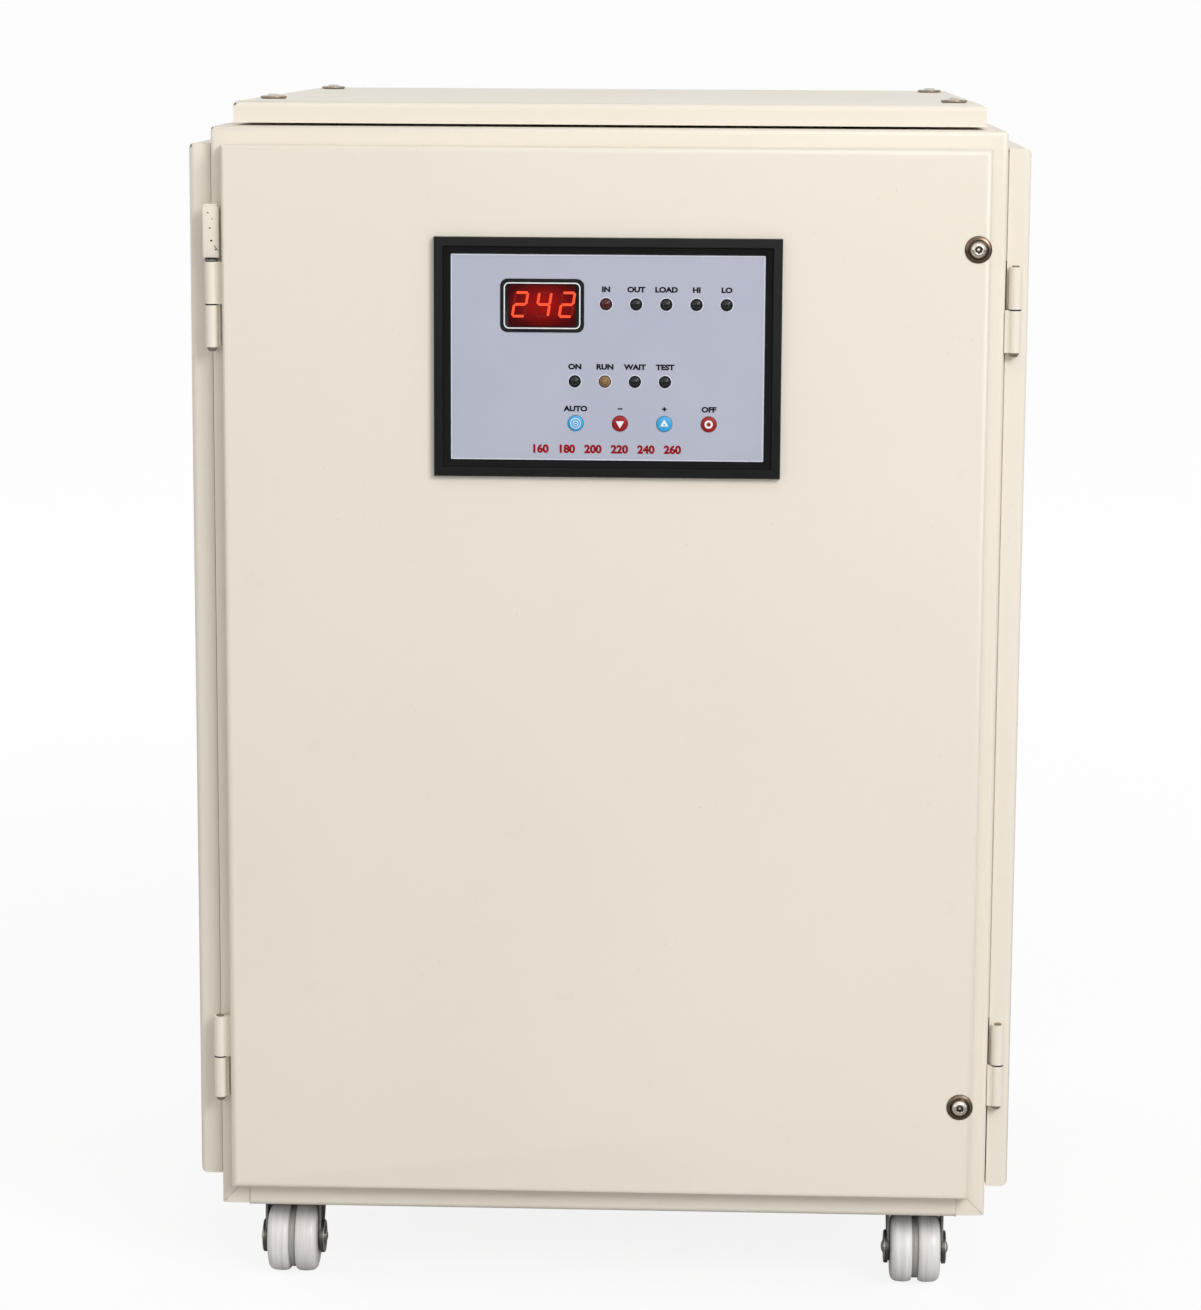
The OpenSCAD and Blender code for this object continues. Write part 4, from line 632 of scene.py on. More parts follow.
# Pale cream strips set in the door gaps: painted light where the gaps would be in shade.
gap_filler_painted_light = moulded("pale foam seal", tone(206, 196, 178), 0.8, 0.12, 0.2, spec=0.2)
film = mottled("blue-grey panel film", tone(181, 184, 199), 0.42, (14.0, 2.0, 0.3, 0.7), tone(178, 181, 197),
               tone(184, 187, 202), (55.0, 3.0, 0.3, 0.7, 0.38, 0.48), (2200.0, 1.0, 0.05, 0.0002),
               spec=0.35)
film_edge = printed("pale film edge", tone(222, 223, 234))
rim_print = printed("pale rim print", tone(216, 219, 230))
white_print = printed("white print", tone(238, 238, 236))
dark_print = printed("dark grey print", tone(14, 15, 24), spec=0.12)
red_print = printed("red print", tone(146, 8, 18), spec=0.12)
carbon = moulded("brush carbon", tone(40, 40, 42), 0.62, 0.2)
seam_cream = printed("cream coat in the weld line", tone(206, 196, 176))
lit_red = glowing("lit red segment", tone(150, 20, 10), tone(255, 92, 56), 1.0)
unlit_red = glowing("unlit red segment", tone(60, 8, 6), tone(120, 16, 12), 0.9)
lens_glass = {
    "dark": moulded("smoked indicator lens", tone(8, 14, 11), 0.09, 0.0, 0.3, spec=0.34),
    "red": moulded("dark red indicator lens", tone(84, 8, 12), 0.09, 0.0, 0.3, spec=0.34),
    "amber": moulded("amber indicator lens", tone(158, 120, 74), 0.12, 0.0, 0.2, spec=0.4),
}
# A lighter ring on each dark lens dome: a painted reflection.
lens_glint_ring = moulded("painted reflection ring on the lens", tone(58, 64, 60), 0.2, 0.0, 0.3)
insulation = printed("varnished insulation", tone(92, 66, 38), 0.45)
cotton = printed("white cotton band", tone(214, 208, 192), 0.8)


# Cabinet: frame, doors and cover

finish_nodes(
    ("corner_posts", cream_frame),
    ("top_ring", cream_frame),
    ("base_tray", cream_frame),
    ("back_panel", cream_frame),
    ("front_door", cream_door, 0, 25),
    ("right_door", cream_side, 0, 25),
    ("left_door", cream_side, 0, 25),
    ("top_cover", cream_cover, 0, 25),
    ("hinge_knuckles", cream_hinge, 0, 30),
    ("hinge_pins", pin_steel, 0, 40),
    ("back_panel_screws", zinc, 0.12, 40),
    ("mounting_shelf", zinc),
    ("mounting_plate", zinc),
)

SHEET = 1.5 * MM
MITRE = mm(21, 0.12, 0.45)
MITRE_GAP = 1.2 * MM
FOOT_W, FOOT_PROUD, FOOT_SHORT, FOOT_DROP = mm(16, 0.42, 3, 1)
FOOT_SECTION = mm(0.4, 0.9)
tray_low, tray_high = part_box("base_tray")
posts_low, posts_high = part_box("corner_posts")


def mitre_seams():
    """Ground-down weld lines that run from the frame's lower front corners."""
    lines = []
    reach = MITRE[0] / 2 * math.sqrt(0.5)
    for side in (-1, 1):
        lines.append(moved(block(MITRE, ease=0.04 * MM, segments=1),
                           (side * (posts_high.x - MITRE_GAP - reach), posts_low.y,
                            posts_low.z + MITRE_GAP + reach), about("Y", side * 45)))
        foot = block((*FOOT_SECTION, tray_high.z - tray_low.z - FOOT_SHORT), ease=0.05 * MM, segments=1)
        lines.append(moved(foot, (side * (posts_high.x - FOOT_W), tray_low.y + FOOT_PROUD,
                                  (tray_high.z + tray_low.z) / 2 - FOOT_DROP)))
    new_piece("mitre_seams", lines, seam_cream, "cabinet")


KNUCKLE_LENGTH = 23 * MM
HALF_GAP = 0.2 * MM
HINGE_SPLITS = [knuckle_top * MM + HALF_GAP for knuckle_top in (135.9, 559.2)]
FRONT_HINGE = mm(-215.5, -223.15)
RIGHT_HINGE = mm(221.4, -215.95)
GAP_SHADE_BORE, GAP_SHADE_R, GAP_SHADE_LENGTH = mm(2.1, 3.53, 0.8)
STOP_RING_R, STOP_RING_LENGTH = mm(3.3, 2)
WASHER_BORE, WASHER_R, WASHER_T, WASHER_DROP = mm(2.15, 3.6, 0.45, 1.25)
LIP_SHARES = (0.86, 0.5)
LIP_HEIGHT = 1.6 * MM
LIP_SHIFT = mm(-0.2, -1.2, 0.5)
SCRATCH = mm(0.5, 0.12, 3.4)
SCRATCH_SHIFT = mm(2.9, -8.6)
stop_low, stop_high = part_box("hinge_lift_stop")
CHIPPED_SPOTS = [(-1.4, 10.5, 0.55), (0.9, 7.2, 0.4), (-0.4, 2.2, 0.6), (0.3, -4.6, 0.75), (2.6, -9.4, 0.5)]


def lift_stop():
    """Welded block over the front hinge, with a lip at its top and chipped spots on its face."""
    x, y, z = middle("hinge_lift_stop")
    width, depth, height = stop_high - stop_low
    body = block((width, depth, height), (x, y, z), 0.7 * MM, 3)
    lip = block((width * LIP_SHARES[0], depth * LIP_SHARES[1], LIP_HEIGHT),
                (x + LIP_SHIFT[0], y + LIP_SHIFT[1], stop_high.z + LIP_SHIFT[2]), 0.5 * MM)
    new_piece("lift_stop", [body, lip], cream_hinge, stands_for="hinge_lift_stop")
    spots = [bead((x + right * MM, stop_low.y, z + up * MM), radius * MM, (1, 0.22, 0.8))
             for right, up, radius in CHIPPED_SPOTS]
    scratch = block(SCRATCH, ease=0.05 * MM, segments=1)
    spots.append(moved(scratch, (x + SCRATCH_SHIFT[0], stop_low.y, z + SCRATCH_SHIFT[1]), about("Y", -38)))
    new_piece("lift_stop_chips", spots, stain, "cabinet")
    washer = moved(collar(WASHER_BORE, WASHER_R, WASHER_T, 32), (*FRONT_HINGE, stop_low.z - WASHER_DROP))
    new_piece("hinge_washer", washer, rivet_steel, "cabinet")


def hinge_gaps():
    """Dark rings of painted shade in the gaps between the halves of the hinge barrels, and under the lift
    stop.
    """
    rings = [moved(collar(GAP_SHADE_BORE, GAP_SHADE_R, GAP_SHADE_LENGTH, 32), (x, y, split - GAP_SHADE_LENGTH / 2))
             for x, y in (FRONT_HINGE, RIGHT_HINGE) for split in HINGE_SPLITS]
    rings.append(moved(collar(GAP_SHADE_BORE, STOP_RING_R, STOP_RING_LENGTH, 32),
                       (*FRONT_HINGE, stop_low.z - STOP_RING_LENGTH)))
    new_piece("hinge_gap_rings", rings, hinge_gap_shade, "cabinet")


GAP_FILL_W, GAP_FILL_DEPTH = mm(0.7, 4.5)
GAP_FILL_X, GAP_FILL_Y, GAP_FILL_END = mm(0.47, 0.25, 2)


def side_gap_fillers():
    """Pale strips in the gaps between the posts and the side doors' front edges: painted light that hides the
    gaps' shade.
    """
    low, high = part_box("left_door")
    lower, upper = HINGE_SPLITS
    past_knuckle = KNUCKLE_LENGTH + 3 * MM
    pieces = {
        "left_door": [(low.z + GAP_FILL_END, high.z - GAP_FILL_END)],
        "right_door": [(lower + past_knuckle, upper - 1 * MM), (upper + past_knuckle, high.z - GAP_FILL_END)],
    }
    for node, runs in pieces.items():
        x = (1 if node == "right_door" else -1) * (posts_high.x + GAP_FILL_X)
        y = low.y + GAP_FILL_Y + GAP_FILL_DEPTH / 2
        strips = [block((GAP_FILL_W, GAP_FILL_DEPTH, top - bottom), (x, y, (top + bottom) / 2), 0.15 * MM, 1)
                  for bottom, top in runs]
        new_piece(node.replace("door", "seal"), strips, gap_filler_painted_light, BODY_OF[node])


TAB_EDGE_X = -210.8 * MM
BEAD_SIZES = (0.62, 0.85)
BEAD_STEP_SHARE = 1.1
BEAD_SQUASH = (1, 0.8, 0.9)
BEAD_WANDER = 0.1


def weld_beads():
    """Fillet welds along the fixed tabs of the front hinges and the lift stop."""
    rng = random.Random(11)
    beads = []

    def run(x, low, high):
        z = low
        while z < high:
            size = rng.uniform(*BEAD_SIZES) * MM
            wander = rng.uniform(-BEAD_WANDER, BEAD_WANDER) * MM
            beads.append(bead((x + wander, posts_low.y - 0.1 * MM, z), size, BEAD_SQUASH))
            z += size * BEAD_STEP_SHARE
    for split in HINGE_SPLITS:
        run(TAB_EDGE_X, split - KNUCKLE_LENGTH + 1 * MM, split - 1.2 * MM)
    run(stop_high.x + 0.2 * MM, stop_low.z + 1 * MM, stop_high.z - 1 * MM)
    new_piece("weld_beads", beads, cream_hinge, "cabinet", smooth=60)


mitre_seams()
lift_stop()
hinge_gaps()
side_gap_fillers()
weld_beads()


# Front fasteners: a browned cup washer round a bright domed screw with a hexagon socket

SOCKET_R = 1.85
SOCKET_FLOOR = 2.25
SOCKET_RIM = 3.4
SOCKET_DRAWN = (0.5, 1.02)
SOCKET_WALL_REACH = mm(0.82, 1.9)
SOCKET_WALL_RISE = mm(2.0, 3.47)
CUP_R = 7.4 * MM
CUP_PROFILE = [(4.45, 0), (7.35, 0), (7.4, 0.2), (7.1, 0.62), (6.6, 0.9), (6.15, 0.98), (5.8, 1.2),
               (5.5, 1.22), (5.3, 1.0), (5.1, 0.6), (4.8, 0.42), (4.45, 0.4), (4.45, 0)]
COVER_CUP_PROFILE = [(4.45, 0), (6.4, 0), (7.0, 0.35), (7.35, 0.75), (7.4, 1.1), (7.15, 1.45), (6.4, 1.66),
                     (5.6, 1.7), (4.95, 1.58), (4.6, 1.3), (4.45, 0.9), (4.45, 0)]
COVER_SCREW_SINK = 0.8 * MM
DOME_PROFILE = [(2.05, 3.48), (2.35, 3.55), (2.7, 3.52), (3.3, 3.2), (3.95, 2.55), (4.3, 1.8), (4.4, 1.1),
                (4.4, 0.05)]
STUD_PROFILE = [(2.5, 0.05), (2.5, -15.6), (2.2, -16.0), (0, -16.0)]
COVER_STUD_PROFILE = [(3, 0.05), (3, -29.4), (2.4, -30), (0, -30)]
NUT_R, NUT_HEIGHT = mm(5.77, 5)
CROSS_BAR = mm(3, 3, 14)
DOOR_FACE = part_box("front_door")[0].y


def socket_screw(shank):
    """A turned screw whose well in the head is drawn out to a hexagon."""
    bm = lathe([(0, SOCKET_FLOOR), (0.8, SOCKET_FLOOR), (SOCKET_R, SOCKET_FLOOR - 0.1),
                (SOCKET_R, SOCKET_RIM)]
               + DOME_PROFILE + shank)
    for v in bm.verts:
        reach = math.hypot(v.co.x, v.co.y)
        if SOCKET_DRAWN[0] * SOCKET_R * MM < reach < SOCKET_DRAWN[1] * SOCKET_R * MM:
            turn = math.atan2(v.co.y, v.co.x) % math.radians(60) - math.radians(30)
            share = math.cos(math.radians(30)) / math.cos(turn)
            v.co.x *= share
            v.co.y *= share
    return bm


def screw_piece(name, parts, seats, along, node):
    """Domed screws as one piece that stands for a node, with painted shade on their sockets' walls."""
    whole = joined(parts)
    along = Vector(along)
    for face in whole.faces:
        at = face.calc_center_median()
        for seat in seats:
            apart = at - Vector(seat)
            rise = apart.dot(along)
            reach = (apart - along * rise).length
            if (SOCKET_WALL_REACH[0] < reach < SOCKET_WALL_REACH[1]
                    and SOCKET_WALL_RISE[0] < rise < SOCKET_WALL_RISE[1]):
                face.material_index = 1
    new_piece(name, whole, [bright_steel, socket_dark], smooth=40, stands_for=node)


def cover_screws():
    """The cover's four screws in their cup washers, with their nuts under the frame."""
    low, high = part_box("cover_screws")
    seats = [(x, y, cover_high.z)
             for x in (low.x + CUP_R, high.x - CUP_R) for y in (low.y + CUP_R, high.y - CUP_R)]
    cups = [moved(lathe(COVER_CUP_PROFILE), seat) for seat in seats]
    new_piece("cover_screw_cups", cups, pin_steel, "cabinet", smooth=50)
    sunk = [(x, y, z - COVER_SCREW_SINK) for x, y, z in seats]
    parts = []
    for x, y, z in sunk:
        parts.append(moved(socket_screw(COVER_STUD_PROFILE), (x, y, z)))
        parts.append(moved(hexagon(NUT_R, NUT_HEIGHT, 0.4 * MM, 1),
                           (x, y, ring_high.z - SHEET - NUT_HEIGHT / 2)))
    screw_piece("cover_screws_turned", parts, sunk, (0, 0, 1), "cover_screws")


def front_fastener(node):
    """Cup washer, screw, stud and cross bar on the fastener's own axis."""
    low, high, centre = box_of(node)
    seat = (centre.x, DOOR_FACE, centre.z)
    new_piece(node + "_cup", moved(lathe(CUP_PROFILE), seat, FACING_FRONT), brown_steel, BODY_OF[node],
              smooth=50)
    bar = block(CROSS_BAR, (centre.x, high.y - CROSS_BAR[1] / 2, centre.z), 0.5 * MM)
    screw = moved(socket_screw(STUD_PROFILE), seat, FACING_FRONT)
    screw_piece(node + "_screw", [screw, bar], [seat], (0, -1, 0), node)


cover_screws()
for node in ("door_fastener_upper", "door_fastener_lower"):
    front_fastener(node)


# Control panel

panel = middle("panel_bezel")
plate_low, plate_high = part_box("face_plate")
PLATE_Y = plate_low.y
LED_PITCH = 16.3 * MM
LED_ROWS = [(-0.9 * MM, 29.2 * MM, ("IN", "OUT", "LOAD", "HI", "LO")),
            (-17.6 * MM, -12.7 * MM, ("ON", "RUN", "WAIT", "TEST"))]
LED_TINTS = {"IN": "red", "RUN": "amber"}
LED_R = 2.9 * MM
SEAT_W, SEAT_T, RIM_W = mm(0.42, 0.3, 1.0)
LENS_SINK, LENS_GLINT_RISE = mm(0.5, 1.12)
LENS_GLINT_RING = mm(1.75, 1.35, 0.1)
LENS_PROFILE = [(0, 1.42), (0.9, 1.33), (1.45, 1.16), (1.62, 0.98), (1.85, 1.0), (2.3, 0.78), (2.7, 0.45),
                (2.86, 0.2), (2.9, 0), (2.9, -10.2), (0, -10.2)]
CAPTION_RISE = 7.8 * MM
CAPTION_CAP = 2.8 * MM
CAPTION_STRETCH, CAPTION_BOLD = 1.16, 0.075
BUTTONS = ("button_mode", "button_down", "button_up", "button_stop")
BUTTON_CAPTIONS = ("AUTO", "−", "+", "OFF")
BUTTON_MARKS = ("dial", "down", "up", "ring")
EDGE_GAP, EDGE_CORNER, EDGE_W, EDGE_T = mm(0.1, 0.4, 0.55, 0.05)
BEZEL_STEPS = [(0.15, 3.5, 0), (0.5, 0.65, 0), (4.1, 0.3, 0), (0.25, -0.2, 0), (0.3, -1.0, 0),
               (3.05, -0.35, 1), (0.65, -1.3, 1), (0.05, -1.55, 1)]

plate_slots = NODES["face_plate"].data.materials
plate_slots.clear()
plate_slots.append(film)
finish_nodes(("display_module", bezel_plastic, 0.2, 40), ("display_board", upright_board))


def bezel_moulding():
    """Stepped frame round the face plate, from steps inwards and forwards: a satin outer band, a ridge
    and a matt inner band, whose near-black also paints the shade of its recess and of the gap at the plate."""
    low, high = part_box("panel_bezel")
    bm = rounded_sheet(high.x - low.x, high.z - low.z, 0)
    centre = bm.faces[:]
    for inwards, forwards, finish in BEZEL_STEPS:
        ring = inset(bm, centre, inwards * MM, forwards * MM)
        for face in ring:
            face.material_index = finish
        centre = [face for face in bm.faces if face.is_valid and face not in ring and face in centre]
    bmesh.ops.delete(bm, geom=centre, context="FACES")
    bmesh.ops.bridge_loops(bm, edges=[edge for edge in bm.edges if edge.is_boundary])
    bmesh.ops.recalc_face_normals(bm, faces=bm.faces)
    new_piece("bezel_moulding", moved(bm, (panel.x, high.y, panel.z)), [bezel_plastic, bezel_shade],
              smooth=28, stands_for="panel_bezel")


def plate_border():
    """Light cut edge of the film round the face plate."""
    band = rounded_band(plate_high.x - plate_low.x - EDGE_GAP, plate_high.z - plate_low.z - EDGE_GAP,
                        EDGE_CORNER, EDGE_W, EDGE_T)
    new_piece("film_border", moved(band, (panel.x, PLATE_Y - EDGE_T, panel.z)), film_edge, "front_door")


DIGIT_H = 14.2 * MM
DIGIT_W = 7.9 * MM
DIGIT_PITCH = 12.7 * MM
DIGIT_SHIFT = mm(0.8, 0.6)
DIGIT_SLANT = math.tan(math.radians(9))
DIGIT_T = 0.05 * MM
STROKE = 1.4 * MM
STROKE_GAP = 0.25 * MM
SHOWN = ("abged", "fgbc", "abged")
LINE_GAP, LINE_CORNER, LINE_W = mm(3.5, 2.8, 0.62)
WINDOW = mm(36.4, 22.6, 2.0, 0.38)
WINDOW_SINK = 0.62 * MM


def digit_segment(letter):
    """One pointed bar of a slanted seven-segment digit that is centred on the origin."""
    half_h = (DIGIT_H - STROKE) / 2
    half_w = (DIGIT_W - STROKE) / 2
    point = STROKE / math.sqrt(3)
    level = {"a": half_h, "g": 0.0, "d": -half_h}
    bm = moved(polygon(point, 6), turn=about("Z", 30))
    length = (DIGIT_W - STROKE if letter in level else half_h) - STROKE_GAP
    for v in bm.verts:
        v.co.x += math.copysign((length - 2 * point) / 2, v.co.x)
    thicken(moved(bm, turn=FACING_FRONT), DIGIT_T)
    if letter in level:
        moved(bm, (0, 0, level[letter]))
    else:
        moved(bm, (half_w if letter in "bc" else -half_w, 0, half_h / 2 if letter in "bf" else -half_h / 2),
              ALONG_X)
    for v in bm.verts:
        v.co.x += DIGIT_SLANT * v.co.z
    return bm


def display_front():
    """White line, red window and lit digits of the display."""
    low, high, centre = box_of("display_module")
    size = high - low
    line = rounded_band(size.x - LINE_GAP, size.z - LINE_GAP, LINE_CORNER, LINE_W, INK)
    new_piece("display_line", moved(line, (centre.x, low.y - 0.05 * MM, centre.z)), white_print,
              "front_door")
    window_y = low.y + WINDOW_SINK
    digits_z = centre.z + DIGIT_SHIFT[1]
    digits_x = [centre.x + DIGIT_SHIFT[0] + k * DIGIT_PITCH for k in (-1, 0, 1)]
    glass = display_window("red display window", (digits_x[1], window_y, digits_z))
    new_piece("display_window", moved(rounded_plate(*WINDOW), (centre.x, window_y, centre.z)), glass,
              "front_door")
    lit, unlit = [], []
    for x, on in zip(digits_x, SHOWN):
        for letter in "abcdefg":
            bar = moved(digit_segment(letter), (x, window_y - 0.04 * MM, digits_z))
            (lit if letter in on else unlit).append(bar)
    new_piece("digits_lit", lit, lit_red, "front_door", smooth=0)
    new_piece("digits_unlit", unlit, unlit_red, "front_door", smooth=0)


def caption(text, x, z):
    """Dark caption over an indicator or a button at the given place."""
    ink = words(text, CAPTION_CAP, CAPTION_STRETCH, CAPTION_BOLD)
    return moved(ink, (x, PLATE_Y - INK / 2, z + CAPTION_RISE))


def indicators():
    """Lenses in their rows, with a thin ring of painted gap shade and a pale printed rim round each, and all
    captions.
    """
    seat_y = PLATE_Y - LENS_SINK
    bodies = {"dark": [], "red": [], "amber": []}
    seats, rims, rings, captions = [], [], [], []
    for x0, z0, texts in LED_ROWS:
        for k, text in enumerate(texts):
            x, z = panel.x + x0 + k * LED_PITCH, panel.z + z0
            lens = moved(lathe(LENS_PROFILE, 36), (x, seat_y, z), FACING_FRONT)
            bodies[LED_TINTS.get(text, "dark")].append(lens)
            seats.append(moved(flat_ring(LED_R + SEAT_W, LED_R, SEAT_T), (x, PLATE_Y - SEAT_T, z)))
            rims.append(moved(flat_ring(LED_R + RIM_W, LED_R + SEAT_W, INK), (x, PLATE_Y - INK, z)))
            rings.append(moved(flat_ring(*LENS_GLINT_RING), (x, seat_y - LENS_GLINT_RISE, z)))
            captions.append(caption(text, x, z))
    for tint, parts in bodies.items():
        new_piece("lenses_" + tint, parts, lens_glass[tint], "front_door", smooth=40,
                  stands_for="led_lenses" if tint == "dark" else None)
    # Near-black seats round each lens: painted shade of the gap round it.
    new_piece("lens_seats", seats, bezel_shade, "front_door")
    # Lighter rings on the lens domes: painted reflections.
    new_piece("lens_glint_rings", rings, lens_glint_ring, "front_door")
    new_piece("lens_rims", rims, rim_print, "front_door")
    for node, text in zip(BUTTONS, BUTTON_CAPTIONS):
        at = middle(node)
        captions.append(caption(text, at.x, at.z))
    new_piece("captions", captions, dark_print, "front_door", smooth=0)


MARK_T = 0.05 * MM
MARK_RINGS = {"ring": [mm(2.25, 1.15)], "dial": [mm(2.85, 2.45), mm(1.55, 1.2)]}
DIAL_BAR = mm(1.5, 0.05, 0.35)
DOT_R = 0.5 * MM
MARK_RISE, DOT_RISE, DOT_DROP = mm(0.04, 0.07, 0.35)
CAP_EDGE = [(0, 0), (3.6, 0), (3.95, 0.12), (4.2, 0.45)]
CAP_FLANGE = [(4.2, 3.0), (5.3, 3.0), (5.3, 2.0), (2.0, 2.0), (2.0, 0), (0, 0)]
ARROW_R, ARROW_CORNER = mm(2.6, 0.25)


def icon(kind):
    """White mark on a button's cap, centred on the origin and facing the front."""
    if kind in MARK_RINGS:
        parts = [flat_ring(outer, inner, MARK_T) for outer, inner in MARK_RINGS[kind]]
        if kind == "dial":
            parts.append(moved(block(DIAL_BAR), (0, -MARK_T / 2, 0)))
        return parts
    bm = polygon(ARROW_R, 3)
    round_corners(bm, ARROW_CORNER, 3)
    thicken(moved(bm, turn=FACING_FRONT), MARK_T)
    if span_x(bm) < max(v.co.z for v in bm.verts) - min(v.co.z for v in bm.verts):
        moved(bm, turn=ALONG_X)
    points_up = sum(v.co.z for v in bm.verts if abs(v.co.x) < 0.3 * MM) > 0
    if points_up != (kind == "up"):
        moved(bm, turn=about("Y", 180))
    return [bm]


def push_button(node, cap, kind):
    """Button with an eased cap, a flange and a stem, and its white mark."""
    low, high, at = box_of(node)
    top = (high.y - low.y) / MM
    body = lathe([(r, top - drop) for r, drop in CAP_EDGE] + CAP_FLANGE)
    new_piece(node + "_cap", moved(body, (at.x, high.y, at.z), FACING_FRONT), cap, stands_for=node)
    mark = [moved(bm, (at.x, low.y - MARK_RISE, at.z)) for bm in icon(kind)]
    new_piece(node + "_mark", mark, white_print, BODY_OF[node], smooth=0)
    if kind == "up":
        dot = moved(flat_disc(DOT_R, MARK_T, 24), (at.x, low.y - DOT_RISE, at.z - DOT_DROP))
        new_piece(node + "_dot", dot, cap, BODY_OF[node], smooth=0)


SCALE_TEXT = "160   180   200   220   240   260"
SCALE_WIDTH, SCALE_CAP = mm(80.5, 4.3)
SCALE_BOLD = 0.068
SCALE_SHIFT = mm(-0.4, -49.8)


def number_scale():
    """Plain numbers in red along the foot of the panel."""
    ink = words(SCALE_TEXT, SCALE_CAP, bold=SCALE_BOLD)
    bmesh.ops.scale(ink, vec=(SCALE_WIDTH / span_x(ink), 1, 1), verts=ink.verts)
    place = (panel.x + SCALE_SHIFT[0], PLATE_Y - INK / 2, panel.z + SCALE_SHIFT[1])
    new_piece("number_scale", moved(ink, place), red_print, "front_door", smooth=0)


bezel_moulding()
plate_border()
display_front()
indicators()
for node, cap, kind in zip(BUTTONS, (blue_cap, red_cap, blue_cap, red_cap), BUTTON_MARKS):
    push_button(node, cap, kind)
number_scale()


# Casters

TREAD_PROFILE = [(3.05, 13.6), (8.4, 13.6), (9.0, 14.2), (15.6, 14.2), (17.6, 13.7), (19.0, 12.5),
                 (19.7, 10.9), (19.9, 8.4), (20.0, 6.6), (19.85, 4.2), (19.5, 2.9), (18.8, 2.0),
                 (17.4, 1.75), (15.0, 1.7)]
GROOVE_PROFILE = [(15.02, -1.68), (17.5, -1.68), (17.7, -0.5), (17.7, 0.5), (17.5, 1.68), (15.02, 1.68),
                  (15.02, -1.68)]
HUB_RING_PROFILE = [(6.9, 0), (9.3, 0), (9.3, 0.25), (8.9, 0.55), (8.1, 0.6), (7.4, 0.35), (6.9, 0)]
RIVET_PROFILE = [(0, 1.9), (0.9, 1.88), (2.0, 1.7), (2.8, 1.35), (3.3, 0.9), (3.75, 0.85), (3.75, 0), (0, 0)]
HUB_FACE = 17.3 * MM
HEAD_CUT = 1.7 * MM


def caster_wheel(corner):
    """Twin-tread wheel with rounded shoulders and a narrow core between the treads."""
    node = "caster_wheel_" + corner
    at = middle(node)
    mirrored = [(r, -h) for r, h in reversed(TREAD_PROFILE)]
    wheel = lathe(TREAD_PROFILE + mirrored + TREAD_PROFILE[:1], 64)
    new_piece("wheel_" + corner, moved(wheel, at, ALONG_X), nylon, stands_for=node)
    new_piece("wheel_groove_" + corner, [moved(lathe(GROOVE_PROFILE), at, ALONG_X)], groove_painted_shade,
              BODY_OF[node])


def caster_fork(corner):
    """Pressed fork with a rolled ring and a rivet head on each hub disc."""
    node = "caster_fork_" + corner
    finished_node(node, dark_steel, 0.15, 40)
    at = middle("caster_wheel_" + corner)
    trims = [moved(lathe(profile, steps), (at.x + side * HUB_FACE, at.y, at.z), about("Y", side * 90))
             for side in (-1, 1) for profile, steps in ((HUB_RING_PROFILE, 40), (RIVET_PROFILE, 32))]
    new_piece("hub_trims_" + corner, trims, rivet_steel, BODY_OF[node], smooth=40)


for corner in ("front_left", "front_right", "rear_left", "rear_right"):
    caster_wheel(corner)
    caster_fork(corner)
finished_node("caster_plates", zinc, 0.2, 40)
heads = finished_node("caster_bolts", bright_steel, 0, 30)
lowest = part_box("caster_bolts")[0].z
for vertex in heads.data.vertices:
    if vertex.co.z < lowest + 1 * MM:
        vertex.co.z += HEAD_CUT


# Back: fan, guard and cable glands, and the power parts on the tray

finish_nodes(
    ("fan_guard", bright_steel, 0, 50),
    ("fan_frame", fan_plastic, 0.3, 35),
    ("fan_impeller", fan_plastic, 0, 35),
    ("cable_glands", black_plastic, 0.3, 35),
    ("transformer_core", laminations, 0.3),
    ("transformer_coil", tape, 0.8, 50),
    ("transformer_clamps", dark_steel, 0.3, 40),
)
CORE_LEG = 37 * MM
CLAMP_SHEET = 3 * MM
WASHER_PROFILE = [(5, 0), (10, 0), (10.3, 0.4), (10, 1.2), (5, 1.2), (5, 0)]
BOLT_R, BOLT_HEAD = mm(7.8, 5.4)


def clamp_bolts():
    """Zinc hexagon heads with washers on the clamps' through bolts."""
    low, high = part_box("transformer_core")
    parts = []
    for x in (low.x + CORE_LEG / 2, high.x - CORE_LEG / 2):
        for z in (low.z + CORE_LEG / 2, high.z - CORE_LEG / 2):
            for y, turn in ((low.y - CLAMP_SHEET, FACING_FRONT), (high.y + CLAMP_SHEET, FACING_BACK)):
                head = moved(hexagon(BOLT_R, BOLT_HEAD, 0.5 * MM, 2), (0, 0, BOLT_HEAD / 2), about("Z", 30))
                parts += [moved(bm, (x, y, z), turn) for bm in (head, lathe(WASHER_PROFILE, 40))]
    new_piece("clamp_bolt_heads", parts, rivet_steel, BODY_OF["transformer_clamps"])


BAND_W, BAND_T, COIL_CORNER = mm(9, 0.45, 11)
BAND_SHARES = (-0.34, 0.0, 0.34)


def coil_wraps():
    """Turns of cotton band round the booster's coil, over the tape."""
    low, high, at = box_of("transformer_coil")
    size = high - low
    bands = [moved(rounded_band(size.x + 2 * BAND_T, size.y + 2 * BAND_T, COIL_CORNER, BAND_T, BAND_W),
                   (at.x, at.y, at.z + share * size.z - BAND_W / 2), FACING_BACK)
             for share in BAND_SHARES]
    new_piece("coil_bands", bands, cotton, "cabinet")


clamp_bolts()
coil_wraps()


# Variable transformer on the shelf

WINDING_TURNS = 170
WINDING_BORE = 45 * MM
WIRE = 1.5 * MM
WIRE_SINK_SHARE = 0.85
TURN_CORNER = 4 * MM


